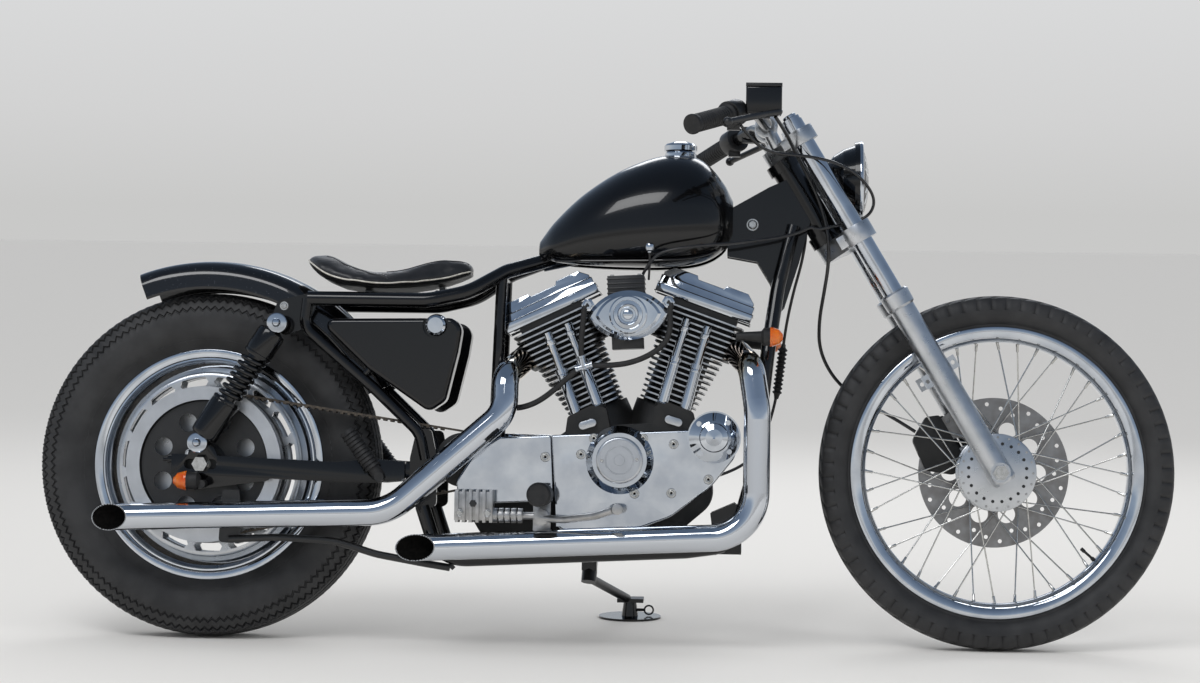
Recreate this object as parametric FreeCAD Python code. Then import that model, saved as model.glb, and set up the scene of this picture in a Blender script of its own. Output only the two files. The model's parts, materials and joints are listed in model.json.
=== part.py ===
import FreeCAD, Part
import math
import os

# Cruiser motorcycle, in millimetres.
# Every piece is drawn with the machine upright: X forward from the rear axle, Y to the rider's left,
# Z up from the ground.  The finished machine is then leaned onto its side stand.

# Overall layout
WHEELBASE = 1524.0
RAKE = 31.2
LEAN = 5.0
ENGINE_TILT = 3.0
VEE_HALF_ANGLE = 22.5
CRANK_X = 828.0
CRANK_Z = 296.0

# Fits: pieces of one body nearly touch, pieces of two bodies keep a running gap
SEAT_GAP = 0.1
RUN_GAP = 0.4

# Front wheel
FRONT_TYRE_D = 684.0
FRONT_TYRE_W = 80.0
FRONT_RIM_R = 281.0
FRONT_RIM_W = 60.0
FRONT_RIM_DEPTH = 20.0
SPOKE_R = 1.7
SPOKES_PER_SIDE = 20
FRONT_HUB_FLANGE_R = 75.0
FRONT_HUB_CORE_R = 30.0
FRONT_HUB_FLANGE_Y = 38.0
FRONT_DISC_R = 146.0
FRONT_DISC_Y = 56.0
DISC_T = 5.0

# Rear wheel
REAR_TYRE_D = 668.0
REAR_TYRE_W = 127.0
REAR_RIM_R = 224.0
REAR_RIM_W = 96.0
REAR_WEB_R = 178.0
WEB_SLOTS = 15
WEB_SLOT_R = 163.0
REAR_DISC_R = 146.0
PULLEY_R = 150.0
PULLEY_WEB_R = 124.0
PULLEY_HOLES = 8
PULLEY_HOLE_R = 17.5
PULLEY_HOLE_PITCH_R = 86.0
BELT_W = 28.0
BELT_Y = 88.0
BELT_T = 4.0
BELT_TOOTH = 3.0
BELT_TOOTH_PITCH = 14.0

# Tyre walls
TYRE_WALL = 9.0

# Fork
FORK_TUBE_R = 19.5
FORK_SPACING = 184.0
FORK_OFFSET = 50.0
FORK_TOP = 785.0
UPPER_YOKE_S = 744.0
UPPER_YOKE_T = 28.0
LOWER_YOKE_S = 529.0
LOWER_YOKE_T = 34.0
SLIDER_R = 24.0
SLIDER_TOP = 398.0
SLIDER_BORE_END = 120.0
# Mudguard lugs: side of the slider (1 front, -1 rear) and height along it
LUGS = ((1, 226.0), (-1, 218.0))
LUG_HOLE_X = SLIDER_R + 6.0
LUG_HOLE_R = 4.2
LUG_WALL = 8.0
STEM_R = 14.0
NECK_R = 29.0
NECK_BORE_R = 17.0
AXLE_R = 9.5

# Frame tubes
RAIL_R = 14.0
RAIL_Y = 112.0
STAY_R = 11.0
BACKBONE_R = 19.0
PIVOT_X = 425.0
PIVOT_Z = 327.0
ARM_Y = 123.0
ARM_W = 24.0
ARM_H = 38.0
REAR_AXLE_R = 9.5

# Shocks
SHOCK_Y = 150.0
SHOCK_TOP = (146.5, 604.5)
SHOCK_FOOT = (-1.2, 374.3)

# Engine
CYLINDER_FOOT = 172.0
FIN_PITCH = 11.0
FIN_T = 3.2
BARREL_FINS = 11
HEAD_FINS = 7
BARREL_R = 48.0
ROCKER_L = 194.0
ROCKER_W = 104.0
ROCKER_H = 54.0
ROCKER_SHIFT = -1.0
ROCKER_DIP = 7.0
PUSHROD_Y = -100.0
CASE_Y = -84.0
COVER_Y = -86.0
SPLIT_X = -152.0
CAM_TOP = 112.0
COVER_T = 40.0

# Exhausts
PIPE_R = 25.5
PIPE_WALL = 2.0
PIPE_Y = -166.0

V = FreeCAD.Vector
X_AXIS = V(1, 0, 0)
Y_AXIS = V(0, 1, 0)
Z_AXIS = V(0, 0, 1)
ORIGIN = V(0, 0, 0)
RIGHT = -1
LEFT = 1
SIDES = (RIGHT, LEFT)

REAR_AXLE = V(0, 0, REAR_TYRE_D / 2)
FRONT_AXLE = V(WHEELBASE, 0, FRONT_TYRE_D / 2)
rake = math.radians(RAKE)
LEG_UP = V(-math.sin(rake), 0, math.cos(rake))
LEG_BACK = V(-math.cos(rake), 0, -math.sin(rake))


# Shape helpers

def rod(start, end, radius):
    """Round bar between two points."""
    along = end - start
    return Part.makeCylinder(radius, along.Length, start, along)


def ring(start, end, outer, inner):
    """Round tube between two points."""
    return rod(start, end, outer).cut(rod(start, end, inner))


def cone(start, end, r_start, r_end):
    along = end - start
    return Part.makeCone(r_start, r_end, along.Length, start, along)


def block(low, high):
    """Box between two corners."""
    size = high - low
    return Part.makeBox(size.x, size.y, size.z, low)


def listed(shapes):
    """Nested lists of shapes as one flat list."""
    flat = []
    for shape in shapes:
        if isinstance(shape, (list, tuple)):
            flat.extend(listed(shape))
        else:
            flat.append(shape)
    return flat


def fuse(*shapes):
    """Join shapes into one solid where they meet."""
    flat = listed(shapes)
    if len(flat) == 1:
        return flat[0]
    return flat[0].multiFuse(flat[1:]).removeSplitter()


def mirrored(shape):
    """The same shape on the other side of the machine."""
    return shape.mirror(ORIGIN, Y_AXIS)


def polygon_xz(points, y_low, y_high):
    """Side outline of (x, z) corners, extruded across the machine."""
    corners = [V(x, y_low, z) for x, z in points]
    face = Part.Face(Part.makePolygon(corners + [corners[0]]))
    return face.extrude(V(0, y_high - y_low, 0))


def rounded_outline(points, y):
    """Closed wire of (x, z, corner radius) corners in the plane at y."""
    count = len(points)
    edges = []
    ends = []
    for i in range(count):
        x, z, radius = points[i]
        here = V(x, y, z)
        before = V(points[i - 1][0], y, points[i - 1][1])
        after = V(points[(i + 1) % count][0], y, points[(i + 1) % count][1])
        to_before = (before - here).normalize()
        to_after = (after - here).normalize()
        half = to_before.getAngle(to_after) / 2
        back = radius / math.tan(half)
        bisector = (to_before + to_after).normalize()
        middle = here + bisector * (radius / math.sin(half) - radius)
        ends.append((here + to_before * back, middle, here + to_after * back))
    for i in range(count):
        start, middle, end = ends[i]
        if points[i][2] > 0:
            edges.append(Part.Arc(start, middle, end).toShape())
        following = ends[(i + 1) % count][0]
        if (following - end).Length > 1e-6:
            edges.append(Part.LineSegment(end, following).toShape())
    return Part.Wire(edges)


def rounded_plate(points, y_low, y_high):
    """Plate whose side outline has rounded corners."""
    return Part.Face(rounded_outline(points, y_low)).extrude(V(0, y_high - y_low, 0))


def wheel_turning(profile, centre):
    """Closed outline of (y, radius) corners turned about a wheel's axle."""
    corners = [V(centre.x, centre.y + y, centre.z + r) for y, r in profile]
    face = Part.Face(Part.makePolygon(corners + [corners[0]]))
    return face.revolve(centre, Y_AXIS, 360)


def turned(profile, base, axis):
    """Closed outline of (distance along the axis, radius) corners turned about any axis."""
    corners = [V(r, 0, a) for a, r in profile]
    face = Part.Face(Part.makePolygon(corners + [corners[0]]))
    solid = face.revolve(ORIGIN, Z_AXIS, 360)
    solid.Placement = FreeCAD.Placement(base, FreeCAD.Rotation(Z_AXIS, axis))
    return solid


def path_wire(points, radii):
    """Straight runs through the points, joined by tangent arcs of the given radii."""
    edges = []
    last = points[0]
    for i in range(1, len(points) - 1):
        here = points[i]
        to_before = (points[i - 1] - here).normalize()
        to_after = (points[i + 1] - here).normalize()
        half = to_before.getAngle(to_after) / 2
        back = radii[i - 1] / math.tan(half)
        start = here + to_before * back
        end = here + to_after * back
        middle = here + (to_before + to_after).normalize() * (radii[i - 1] / math.sin(half) - radii[i - 1])
        if (start - last).Length > 1e-4:
            edges.append(Part.LineSegment(last, start).toShape())
        edges.append(Part.Arc(start, middle, end).toShape())
        last = end
    edges.append(Part.LineSegment(last, points[-1]).toShape())
    return Part.Wire(edges)


def bent_tube(points, radii, radius, wall=0.0):
    """Round tube along a bent path, solid where no wall is given."""
    wire = path_wire(points, radii)
    along = points[1] - points[0]
    outer = Part.Wire(Part.makeCircle(radius, points[0], along))
    solid = wire.makePipeShell([outer], True, False)
    if wall:
        inner = Part.Wire(Part.makeCircle(radius - wall, points[0], along))
        solid = solid.cut(wire.makePipeShell([inner], True, False))
    return solid


def route_radii(points):
    """Arc radii of a cord: 0.45 of the shorter run over the tangent of half the turn."""
    radii = []
    for i in range(1, len(points) - 1):
        before = points[i] - points[i - 1]
        after = points[i + 1] - points[i]
        shorter = min(before.Length, after.Length)
        radii.append(0.45 * shorter / math.tan(before.getAngle(after) / 2))
    return radii


def cord(points, radius):
    """A cable or hose: a plain tube along its route."""
    radii = route_radii(points)
    print("cord radii", [round(r, 1) for r in radii])
    return bent_tube(points, radii, radius)


def leg_point(s, y=0.0):
    """Point at distance s up the fork legs from the front axle."""
    return FRONT_AXLE + LEG_UP * s + V(0, y, 0)


def stem_point(s):
    """Point on the steering axis, level with s on the fork legs."""
    return leg_point(s) + LEG_BACK * FORK_OFFSET


def engine_place(shape):
    """Puts a shape drawn about the crankshaft into the machine."""
    shape.rotate(ORIGIN, Y_AXIS, -ENGINE_TILT)
    shape.translate(V(CRANK_X, 0, CRANK_Z))
    return shape


def cylinder_place(shape, way):
    """Puts a shape drawn along a cylinder's axis into the front (1) or rear (-1) cylinder."""
    if way < 0:
        shape = shape.mirror(ORIGIN, X_AXIS)
    shape.rotate(ORIGIN, Y_AXIS, way * VEE_HALF_ANGLE)
    return engine_place(shape)


# Wheels

def tyre(centre, diameter, width, bead_r, bead_half, flange_r):
    """Hollow carcass: beads inside the rim flanges, round side walls and a tread arc."""
    top = diameter / 2
    half = width / 2
    over_r = flange_r + 2.5
    side_r = over_r + 0.45 * (top - over_r)
    shoulder = (0.80 * half, top - 0.16 * half)
    bulge = (0.95 * half, side_r + 0.62 * (shoulder[1] - side_r))
    lip = (bead_half + 0.55 * (half - bead_half), over_r + 0.28 * (side_r - over_r))
    wall = TYRE_WALL
    inside = half - wall
    inner_shoulder = (shoulder[0] - wall, shoulder[1] - wall)

    def at(y, r):
        return V(centre.x, centre.y + y, centre.z + r)

    def arc(a, b, c):
        return Part.Arc(at(*a), at(*b), at(*c)).toShape()

    def line(a, b):
        return Part.LineSegment(at(*a), at(*b)).toShape()

    def flip(p):
        return (-p[0], p[1])

    bead = (bead_half, bead_r)
    bead_top = (bead_half, over_r)
    side = (half, side_r)
    bead_in = (bead_half - wall, bead_r)
    bead_in_top = (bead_half - wall, over_r)
    edges = [
        line(flip(bead), flip(bead_top)),
        arc(flip(bead_top), flip(lip), flip(side)),
        arc(flip(side), flip(bulge), flip(shoulder)),
        arc(flip(shoulder), (0, top), shoulder),
        arc(shoulder, bulge, side),
        arc(side, lip, bead_top),
        line(bead_top, bead),
        line(bead, bead_in),
        line(bead_in, bead_in_top),
        line(bead_in_top, (inside, side_r)),
        line((inside, side_r), inner_shoulder),
        arc(inner_shoulder, (0, top - wall), flip(inner_shoulder)),
        line(flip(inner_shoulder), (-inside, side_r)),
        line((-inside, side_r), flip(bead_in_top)),
        line(flip(bead_in_top), flip(bead_in)),
        line(flip(bead_in), flip(bead)),
    ]
    return Part.Face(Part.Wire(edges)).revolve(centre, Y_AXIS, 360)


def rim_profile(flange_r, width, depth, seat_drop, wall):
    """Rolled rim section: flanges, bead seats and a dropped centre."""
    half = width / 2
    seat = flange_r - seat_drop
    well = flange_r - depth - seat_drop * 0.4
    return [
        (-half, flange_r), (-half + 5, flange_r), (-half + 7, seat), (-half * 0.62, seat - 1),
        (-half * 0.42, well), (half * 0.42, well), (half * 0.62, seat - 1), (half - 7, seat),
        (half - 5, flange_r), (half, flange_r), (half - 2, seat - wall), (half * 0.60, seat - wall - 1),
        (half * 0.40, well - wall), (-half * 0.40, well - wall), (-half * 0.60, seat - wall - 1),
        (-half + 2, seat - wall),
    ]


FRONT_SEAT_DROP = 15.0
REAR_SEAT_DROP = 18.0
REAR_RIM_DEPTH = 34.0


def front_tyre():
    return tyre(FRONT_AXLE, FRONT_TYRE_D, FRONT_TYRE_W, FRONT_RIM_R - FRONT_SEAT_DROP + SEAT_GAP * 3,
                FRONT_RIM_W / 2 - 7.5, FRONT_RIM_R)


def rear_tyre():
    return tyre(REAR_AXLE, REAR_TYRE_D, REAR_TYRE_W, REAR_RIM_R - REAR_SEAT_DROP + SEAT_GAP * 3,
                REAR_RIM_W / 2 - 7.5, REAR_RIM_R)


def spokes():
    """Crossed wire spokes from the hub flanges to the rim."""
    step = 360.0 / SPOKES_PER_SIDE
    well_r = FRONT_RIM_R - FRONT_RIM_DEPTH - FRONT_SEAT_DROP * 0.4 - 3.5
    hole_r = FRONT_HUB_FLANGE_R - 7
    made = []
    for side in SIDES:
        for i in range(SPOKES_PER_SIDE):
            way = 1 if i % 2 else -1
            hub_angle = math.radians(i * step + (step / 2 if side > 0 else 0))
            rim_angle = hub_angle + way * math.radians(3.1 * step / 2)
            hub_y = side * (FRONT_HUB_FLANGE_Y + way * 2.6)
            start = FRONT_AXLE + V(hole_r * math.sin(hub_angle), hub_y, hole_r * math.cos(hub_angle))
            end = FRONT_AXLE + V(well_r * math.sin(rim_angle), side * 5, well_r * math.cos(rim_angle))
            made.append(rod(start, end, SPOKE_R))
    return made


def front_wheel():
    rim = wheel_turning(rim_profile(FRONT_RIM_R, FRONT_RIM_W, FRONT_RIM_DEPTH, FRONT_SEAT_DROP, 3.5), FRONT_AXLE)
    flange = FRONT_HUB_FLANGE_Y
    hub = wheel_turning([
        (-flange - 14, AXLE_R + RUN_GAP), (-flange - 14, 24), (-flange - 4, 34),
        (-flange - 3, FRONT_HUB_FLANGE_R), (-flange + 3, FRONT_HUB_FLANGE_R), (-flange + 8, FRONT_HUB_CORE_R + 6),
        (-flange + 18, FRONT_HUB_CORE_R), (flange - 18, FRONT_HUB_CORE_R), (flange - 8, FRONT_HUB_CORE_R + 6),
        (flange - 3, FRONT_HUB_FLANGE_R), (flange + 3, FRONT_HUB_FLANGE_R), (flange + 4, 52),
        (FRONT_DISC_Y - SEAT_GAP, 52), (FRONT_DISC_Y - SEAT_GAP, 24), (FRONT_DISC_Y + 2, 22),
        (FRONT_DISC_Y + 2, AXLE_R + RUN_GAP)], FRONT_AXLE)
    return fuse(rim, hub, spokes())


def brake_disc(centre, radius, y_low, y_high, windows):
    """Drilled disc on a spidered carrier."""
    disc = wheel_turning([(y_low, 26), (y_low, radius), (y_high, radius), (y_high, 26)], centre)
    cuts = []
    for i in range(windows):
        angle = math.radians(360.0 / windows * i)
        middle = centre + V(85 * math.cos(angle), 0, 85 * math.sin(angle))
        cuts.append(rod(middle + V(0, y_low - 1, 0), middle + V(0, y_high + 1, 0), 17))
    for i in range(3 * windows):
        angle = math.radians(120.0 / windows * i)
        reach = (118, 126, 134)[i % 3]
        middle = centre + V(reach * math.cos(angle), 0, reach * math.sin(angle))
        cuts.append(rod(middle + V(0, y_low - 1, 0), middle + V(0, y_high + 1, 0), 4))
    return disc.cut(cuts)


def front_disc():
    return brake_disc(FRONT_AXLE, FRONT_DISC_R, FRONT_DISC_Y, FRONT_DISC_Y + DISC_T, 10)


REAR_DISC_Y = 74.0


def rear_disc():
    return brake_disc(REAR_AXLE, REAR_DISC_R, REAR_DISC_Y, REAR_DISC_Y + DISC_T, 10)


def slot_through(centre, radius, angle, length, width, y_low, y_high):
    """Oval hole along a circle about a wheel's axle."""
    tangent = V(-math.sin(angle), 0, math.cos(angle))
    middle = centre + V(radius * math.cos(angle), 0, radius * math.sin(angle))
    reach = tangent * ((length - width) / 2)
    drill = [rod(middle + way * reach + V(0, y_low, 0), middle + way * reach + V(0, y_high, 0), width / 2)
             for way in (-1, 1)]
    radial = V(math.cos(angle), 0, math.sin(angle)) * (width / 2)
    corners = [middle - reach - radial, middle + reach - radial, middle + reach + radial, middle - reach + radial]
    corners = [c + V(0, y_low, 0) for c in corners]
    bar = Part.Face(Part.makePolygon(corners + [corners[0]])).extrude(V(0, y_high - y_low, 0))
    return fuse(bar, drill)


def rear_wheel():
    """Disc wheel: deep chromed rim, slotted web ring and hub."""
    rim = wheel_turning(rim_profile(REAR_RIM_R, REAR_RIM_W, REAR_RIM_DEPTH, REAR_SEAT_DROP, 4), REAR_AXLE)
    well = REAR_RIM_R - REAR_RIM_DEPTH - REAR_SEAT_DROP * 0.4 - 4
    web = wheel_turning([
        (-REAR_DISC_Y + SEAT_GAP, REAR_AXLE_R + RUN_GAP), (-REAR_DISC_Y + SEAT_GAP, 46), (-36, 46), (-34, 149),
        (-38, 153), (-38, REAR_WEB_R - 4), (-34, REAR_WEB_R), (-12, well + 1), (-2, well + 1), (-28, REAR_WEB_R - 5),
        (-30, 147), (-26, 60), (26, 60), (30, 147), (28, REAR_WEB_R - 5), (2, well + 1), (12, well + 1),
        (34, REAR_WEB_R), (38, REAR_WEB_R - 4), (38, 153), (34, 149), (36, 46),
        (REAR_DISC_Y - SEAT_GAP, 46), (REAR_DISC_Y - SEAT_GAP, REAR_AXLE_R + RUN_GAP)], REAR_AXLE)
    slots = [slot_through(REAR_AXLE, WEB_SLOT_R, 2 * math.pi * i / WEB_SLOTS, 42, 14, -60, 60)
             for i in range(WEB_SLOTS)]
    return fuse(rim, web.cut(slots))


def rear_pulley():
    """Toothed belt pulley with a bright flange and a recessed, drilled web."""
    y_in = -BELT_Y + BELT_W / 2 + 3
    y_out = -BELT_Y - BELT_W / 2 - 3
    groove = PULLEY_R - BELT_T - 5
    body = wheel_turning([
        (y_in, PULLEY_R), (y_in - 2.5, PULLEY_R), (y_in - 2.5, groove), (y_out + 2.5, groove),
        (y_out + 2.5, PULLEY_R), (y_out, PULLEY_R), (y_out, PULLEY_WEB_R), (y_out + 9, PULLEY_WEB_R - 3),
        (y_out + 9, 44), (y_out + 4, 40), (y_out + 4, REAR_AXLE_R + RUN_GAP), (-REAR_DISC_Y, REAR_AXLE_R + RUN_GAP),
        (-REAR_DISC_Y, 44), (y_out + 16, 44), (y_out + 16, PULLEY_WEB_R - 8), (y_in, PULLEY_WEB_R)], REAR_AXLE)
    holes = []
    for i in range(PULLEY_HOLES):
        angle = 2 * math.pi * (i + 0.5) / PULLEY_HOLES
        middle = REAR_AXLE + V(PULLEY_HOLE_PITCH_R * math.cos(angle), 0, PULLEY_HOLE_PITCH_R * math.sin(angle))
        holes.append(rod(middle + V(0, y_out - 1, 0), middle + V(0, -REAR_DISC_Y + 1, 0), PULLEY_HOLE_R))
    return body.cut(holes)


BELT_DRIVE_X = 500.0
BELT_DRIVE_Z = 350.0
BELT_DRIVE_R = 52.0


def belt_loop(r_rear, r_drive, y_low, y_high):
    """Racetrack outline round the two pulleys, as a slab."""
    drive = V(BELT_DRIVE_X, 0, BELT_DRIVE_Z)
    between = drive - REAR_AXLE
    slope = math.atan2(between.z, between.x)
    lift = math.acos((r_rear - r_drive) / between.Length)
    points = []
    for centre, radius, way in ((REAR_AXLE, r_rear, 1), (drive, r_drive, 1), (drive, r_drive, -1),
                                (REAR_AXLE, r_rear, -1)):
        angle = slope + way * lift
        points.append(centre + V(radius * math.cos(angle), y_low, radius * math.sin(angle)))
    nose = drive + V(r_drive * math.cos(slope), y_low, r_drive * math.sin(slope))
    tail = REAR_AXLE - V(r_rear * math.cos(slope), -y_low, r_rear * math.sin(slope))
    edges = [
        Part.LineSegment(points[0], points[1]).toShape(),
        Part.Arc(points[1], nose, points[2]).toShape(),
        Part.LineSegment(points[2], points[3]).toShape(),
        Part.Arc(points[3], tail, points[0]).toShape(),
    ]
    return Part.Face(Part.Wire(edges)).extrude(V(0, y_high - y_low, 0)), points


def drive_belt():
    """Fixed loop with teeth on the inside of its two free runs."""
    y_low = -BELT_Y - BELT_W / 2
    y_high = -BELT_Y + BELT_W / 2
    r_rear = PULLEY_R - BELT_T - 5 + RUN_GAP
    r_drive = BELT_DRIVE_R + RUN_GAP
    outer, _ = belt_loop(r_rear + BELT_T, r_drive + BELT_T, y_low, y_high)
    inner, points = belt_loop(r_rear, r_drive, y_low - 1, y_high + 1)
    belt = outer.cut(inner)
    teeth = []
    for start, end, turn in ((points[0], points[1], -1), (points[3], points[2], 1)):
        run = end - start
        along = V(run).normalize()
        inward = V(-along.z, 0, along.x) * turn
        count = int((run.Length - 60) / BELT_TOOTH_PITCH)
        half = along * (BELT_TOOTH_PITCH * 0.25)
        for i in range(count):
            at = start + along * (30 + BELT_TOOTH_PITCH * (i + 0.5)) + V(0, 1, 0)
            corners = [at - half - inward * 0.5, at + half - inward * 0.5,
                       at + half * 0.7 + inward * BELT_TOOTH, at - half * 0.7 + inward * BELT_TOOTH]
            teeth.append(Part.Face(Part.makePolygon(corners + [corners[0]])).extrude(V(0, y_high - y_low, 0)))
    return fuse(belt, teeth)


# Frame and suspension

TWIN_TUBES = [(1128, 24, 812), (1098, 44, 690), (1080, 84, 560), (1056, RAIL_Y, 330), (1020, RAIL_Y, 196),
              (930, RAIL_Y, 183), (500, RAIL_Y, 160), (455, RAIL_Y, 172), (PIVOT_X, RAIL_Y, 260)]
TWIN_RADII = [200, 200, 150, 60, 100, 100, 60]
SEAT_RAIL = [(198, 118, 655), (430, 113, 655), (505, 98, 672), (575, 55, 716), (660, 10, 744)]
SEAT_RAIL_RADII = [110, 110, 110]
REAR_STAY = [(198, 118, 655), (192, 118, 600), (330, 116, 483), (418, 114, 400), (PIVOT_X + 4, 112, 350)]
REAR_STAY_RADII = [34, 500, 60]
SEAT_POST = [(566, 60, 704), (562, 64, 560), (556, 62, 381)]
SEAT_POST_RADII = [300]
BACKBONE = [(640, 0, 738), (900, 0, 796), (1106, 0, 846)]


def side_path(rows, side):
    return [V(x, side * y, z) for x, y, z in rows]


def neck():
    """Steering head with its flared ends."""
    low = stem_point(LOWER_YOKE_S + LOWER_YOKE_T / 2 + RUN_GAP)
    high = stem_point(UPPER_YOKE_S - UPPER_YOKE_T / 2 - RUN_GAP)
    body = fuse(rod(low, high, NECK_R), rod(low, low + LEG_UP * 22, NECK_R + 5),
                rod(high - LEG_UP * 20, high, NECK_R + 5))
    return body, rod(low - LEG_UP, high + LEG_UP, NECK_BORE_R)


def neck_gusset(side):
    """Pressed plate from the neck back to the backbone and down the front tube."""
    y = side * 27
    corners = [(1000, 842), (1080, 888), (1112, 902), (1160, 822), (1140, 745), (1112, 655), (1098, 640),
               (1084, 700), (1058, 742), (1000, 752)]
    plate = polygon_xz(corners, min(y, y - side * 6), max(y, y - side * 6))
    bolt = rod(V(1048, y - side, 814), V(1048, y + side * 7, 814), 9)
    return fuse(plate, bolt)


def frame():
    head, bore = neck()
    tubes = [head]
    tubes.append(bent_tube([V(*p) for p in BACKBONE], [300], BACKBONE_R))
    for side in SIDES:
        tubes.append(bent_tube(side_path(TWIN_TUBES, side), TWIN_RADII, RAIL_R))
        tubes.append(bent_tube(side_path(SEAT_RAIL, side), SEAT_RAIL_RADII, RAIL_R))
        tubes.append(bent_tube(side_path(REAR_STAY, side), REAR_STAY_RADII, STAY_R))
        tubes.append(bent_tube(side_path(SEAT_POST, side), SEAT_POST_RADII, STAY_R))
        tubes.append(neck_gusset(side))
        tubes.append(pivot_plate(side))
        tubes.append(shock_mount(side))
    cross = RAIL_Y
    tubes.append(rod(V(1020, -cross, 196), V(1020, cross, 196), 11))
    tubes.append(rod(V(505, -cross, 162), V(505, cross, 162), 11))
    tubes.append(rod(V(566, -62, 704), V(566, 62, 704), 9))
    tubes.append(rod(V(PIVOT_X, -118, PIVOT_Z), V(PIVOT_X, 118, PIVOT_Z), 12))
    tubes.append(engine_mounts())
    tubes.append(seat_supports())
    tubes.append(tank_pads())
    tubes.append(cover_stubs())
    tubes.append(stand_boss())
    return fuse(tubes).cut(bore)


def seat_supports():
    """Cross tubes with the pads and the hinge block that the saddle rests on."""
    nose = block(V(440, -16, 666), V(452, 16, 686.3))
    strap = rod(V(446, -112, 668), V(446, 112, 668), 6)
    tail = rod(V(302, -116, 660), V(302, 116, 660), 6)
    pads = [block(V(300, side * 40 - 12, 658), V(314, side * 40 + 12, 677.6)) for side in SIDES]
    return [nose, strap, tail, pads]


def tank_pads():
    """Pads on the backbone that the fuel tank's tunnel rests on."""
    pads = []
    for x, z in ((945.0, 806.0), (670.0, 745.0)):
        low = tunnel_roof(x - 15) - SEAT_GAP
        high = tunnel_roof(x + 15) - SEAT_GAP
        pads.append(polygon_xz([(x - 15, z), (x + 15, z), (x + 15, high), (x - 15, low)], -12, 12))
    return pads


def cover_stubs():
    """Stubs on the stays that the oil tank and the battery cover rest on."""
    stubs = []
    for side in SIDES:
        foot = V(303, side * 116.4, 504)
        seat = V(317.4, side * 116.4, 520.6)
        stubs.append(rod(foot, seat - (seat - foot).normalize() * SEAT_GAP, 6))
    return stubs


def pivot_plate(side):
    """Casting round the swing arm pivot."""
    corners = [(400, 296, 12), (400, 352, 12), (412, 408, 8), (440, 408, 10), (452, 352, 12), (452, 262, 12),
               (416, 246, 12)]
    low, high = sorted((side * 107, side * 117))
    return rounded_plate(corners, low, high)


def shock_mount(side):
    """Forged end of the seat rail that carries the shock's upper bolt and the fender."""
    corners = [(128, 618, 10), (140, 650, 12), (210, 668, 8), (214, 640, 8), (190, 596, 10), (150, 582, 12)]
    low, high = sorted((side * 104, side * 118))
    stud = rod(V(SHOCK_TOP[0], side * 110, SHOCK_TOP[1]), V(SHOCK_TOP[0], side * (SHOCK_Y + 22), SHOCK_TOP[1]), 8)
    return fuse(rounded_plate(corners, low, high), stud)


def engine_mounts():
    """Plates that bolt the crankcase to the lower rails."""
    made = []
    for side in SIDES:
        low, high = sorted((side * 80, side * 100))
        made.append(polygon_xz([(985, 176), (1030, 190), (1042, 260), (1020, 276), (975, 256)], low, high))
        made.append(block(V(985, low, 178), V(1035, high, 205)))
        made.append(rod(V(1008, side * 70, 190), V(1008, side * RAIL_Y, 190), 9))
    return made


def swing_arm():
    """Box-section arms on a forged pivot, with axle adjusters."""
    parts = []
    for side in SIDES:
        low, high = sorted((side * (ARM_Y - ARM_W / 2), side * (ARM_Y + ARM_W / 2)))
        axle_z = REAR_AXLE.z
        corners = [(-56, axle_z - ARM_H / 2), (-56, axle_z + ARM_H / 2), (262, PIVOT_Z - 4 + ARM_H / 2),
                   (330, PIVOT_Z + 22), (392, PIVOT_Z + 18), (392, PIVOT_Z - 18), (330, PIVOT_Z - 24),
                   (262, PIVOT_Z - 4 - ARM_H / 2)]
        arm = polygon_xz(corners, low, high)
        slot = fuse(rod(V(-22, low - 1, axle_z), V(-22, high + 1, axle_z), REAR_AXLE_R + SEAT_GAP),
                    rod(V(22, low - 1, axle_z), V(22, high + 1, axle_z), REAR_AXLE_R + SEAT_GAP),
                    block(V(-22, low - 1, axle_z - REAR_AXLE_R - SEAT_GAP),
                          V(22, high + 1, axle_z + REAR_AXLE_R + SEAT_GAP)))
        adjuster = rod(V(-74, side * ARM_Y, axle_z + 8), V(-30, side * ARM_Y, axle_z + 8), 4)
        nut = rod(V(-64, side * ARM_Y, axle_z + 8), V(-55, side * ARM_Y, axle_z + 8), 8)
        foot = V(SHOCK_FOOT[0], side * ARM_Y, SHOCK_FOOT[1])
        lug = polygon_xz([(-26, axle_z + 12), (-18, SHOCK_FOOT[1] + 12), (16, SHOCK_FOOT[1] + 12),
                          (34, axle_z + 12)], low, high)
        stud = rod(foot, V(SHOCK_FOOT[0], side * (SHOCK_Y + 22), SHOCK_FOOT[1]), 8)
        below = rounded_plate([(-28, 282, 10), (-24, axle_z - 12, 6), (150, axle_z - 14, 6), (128, 304, 10)],
                              low + 4, high - 4)
        parts.append(fuse(arm.cut(slot), adjuster, nut, lug, stud, below))
    web_x = REAR_TYRE_D / 2 + 12
    web_low = V(web_x, -ARM_Y - 2, PIVOT_Z - 15)
    web_high = V(web_x + 30, ARM_Y + 2, PIVOT_Z + 15)
    hub = ring(V(PIVOT_X, -94, PIVOT_Z), V(PIVOT_X, 94, PIVOT_Z), 21, 12 + SEAT_GAP)
    webs = []
    for side in SIDES:
        y0, y1 = sorted((side * 70, side * 94))
        webs.append(block(V(web_x, y0, PIVOT_Z - 14), V(PIVOT_X - 14, y1, PIVOT_Z + 14)))
    return fuse(parts, block(web_low, web_high), hub, webs)


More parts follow.
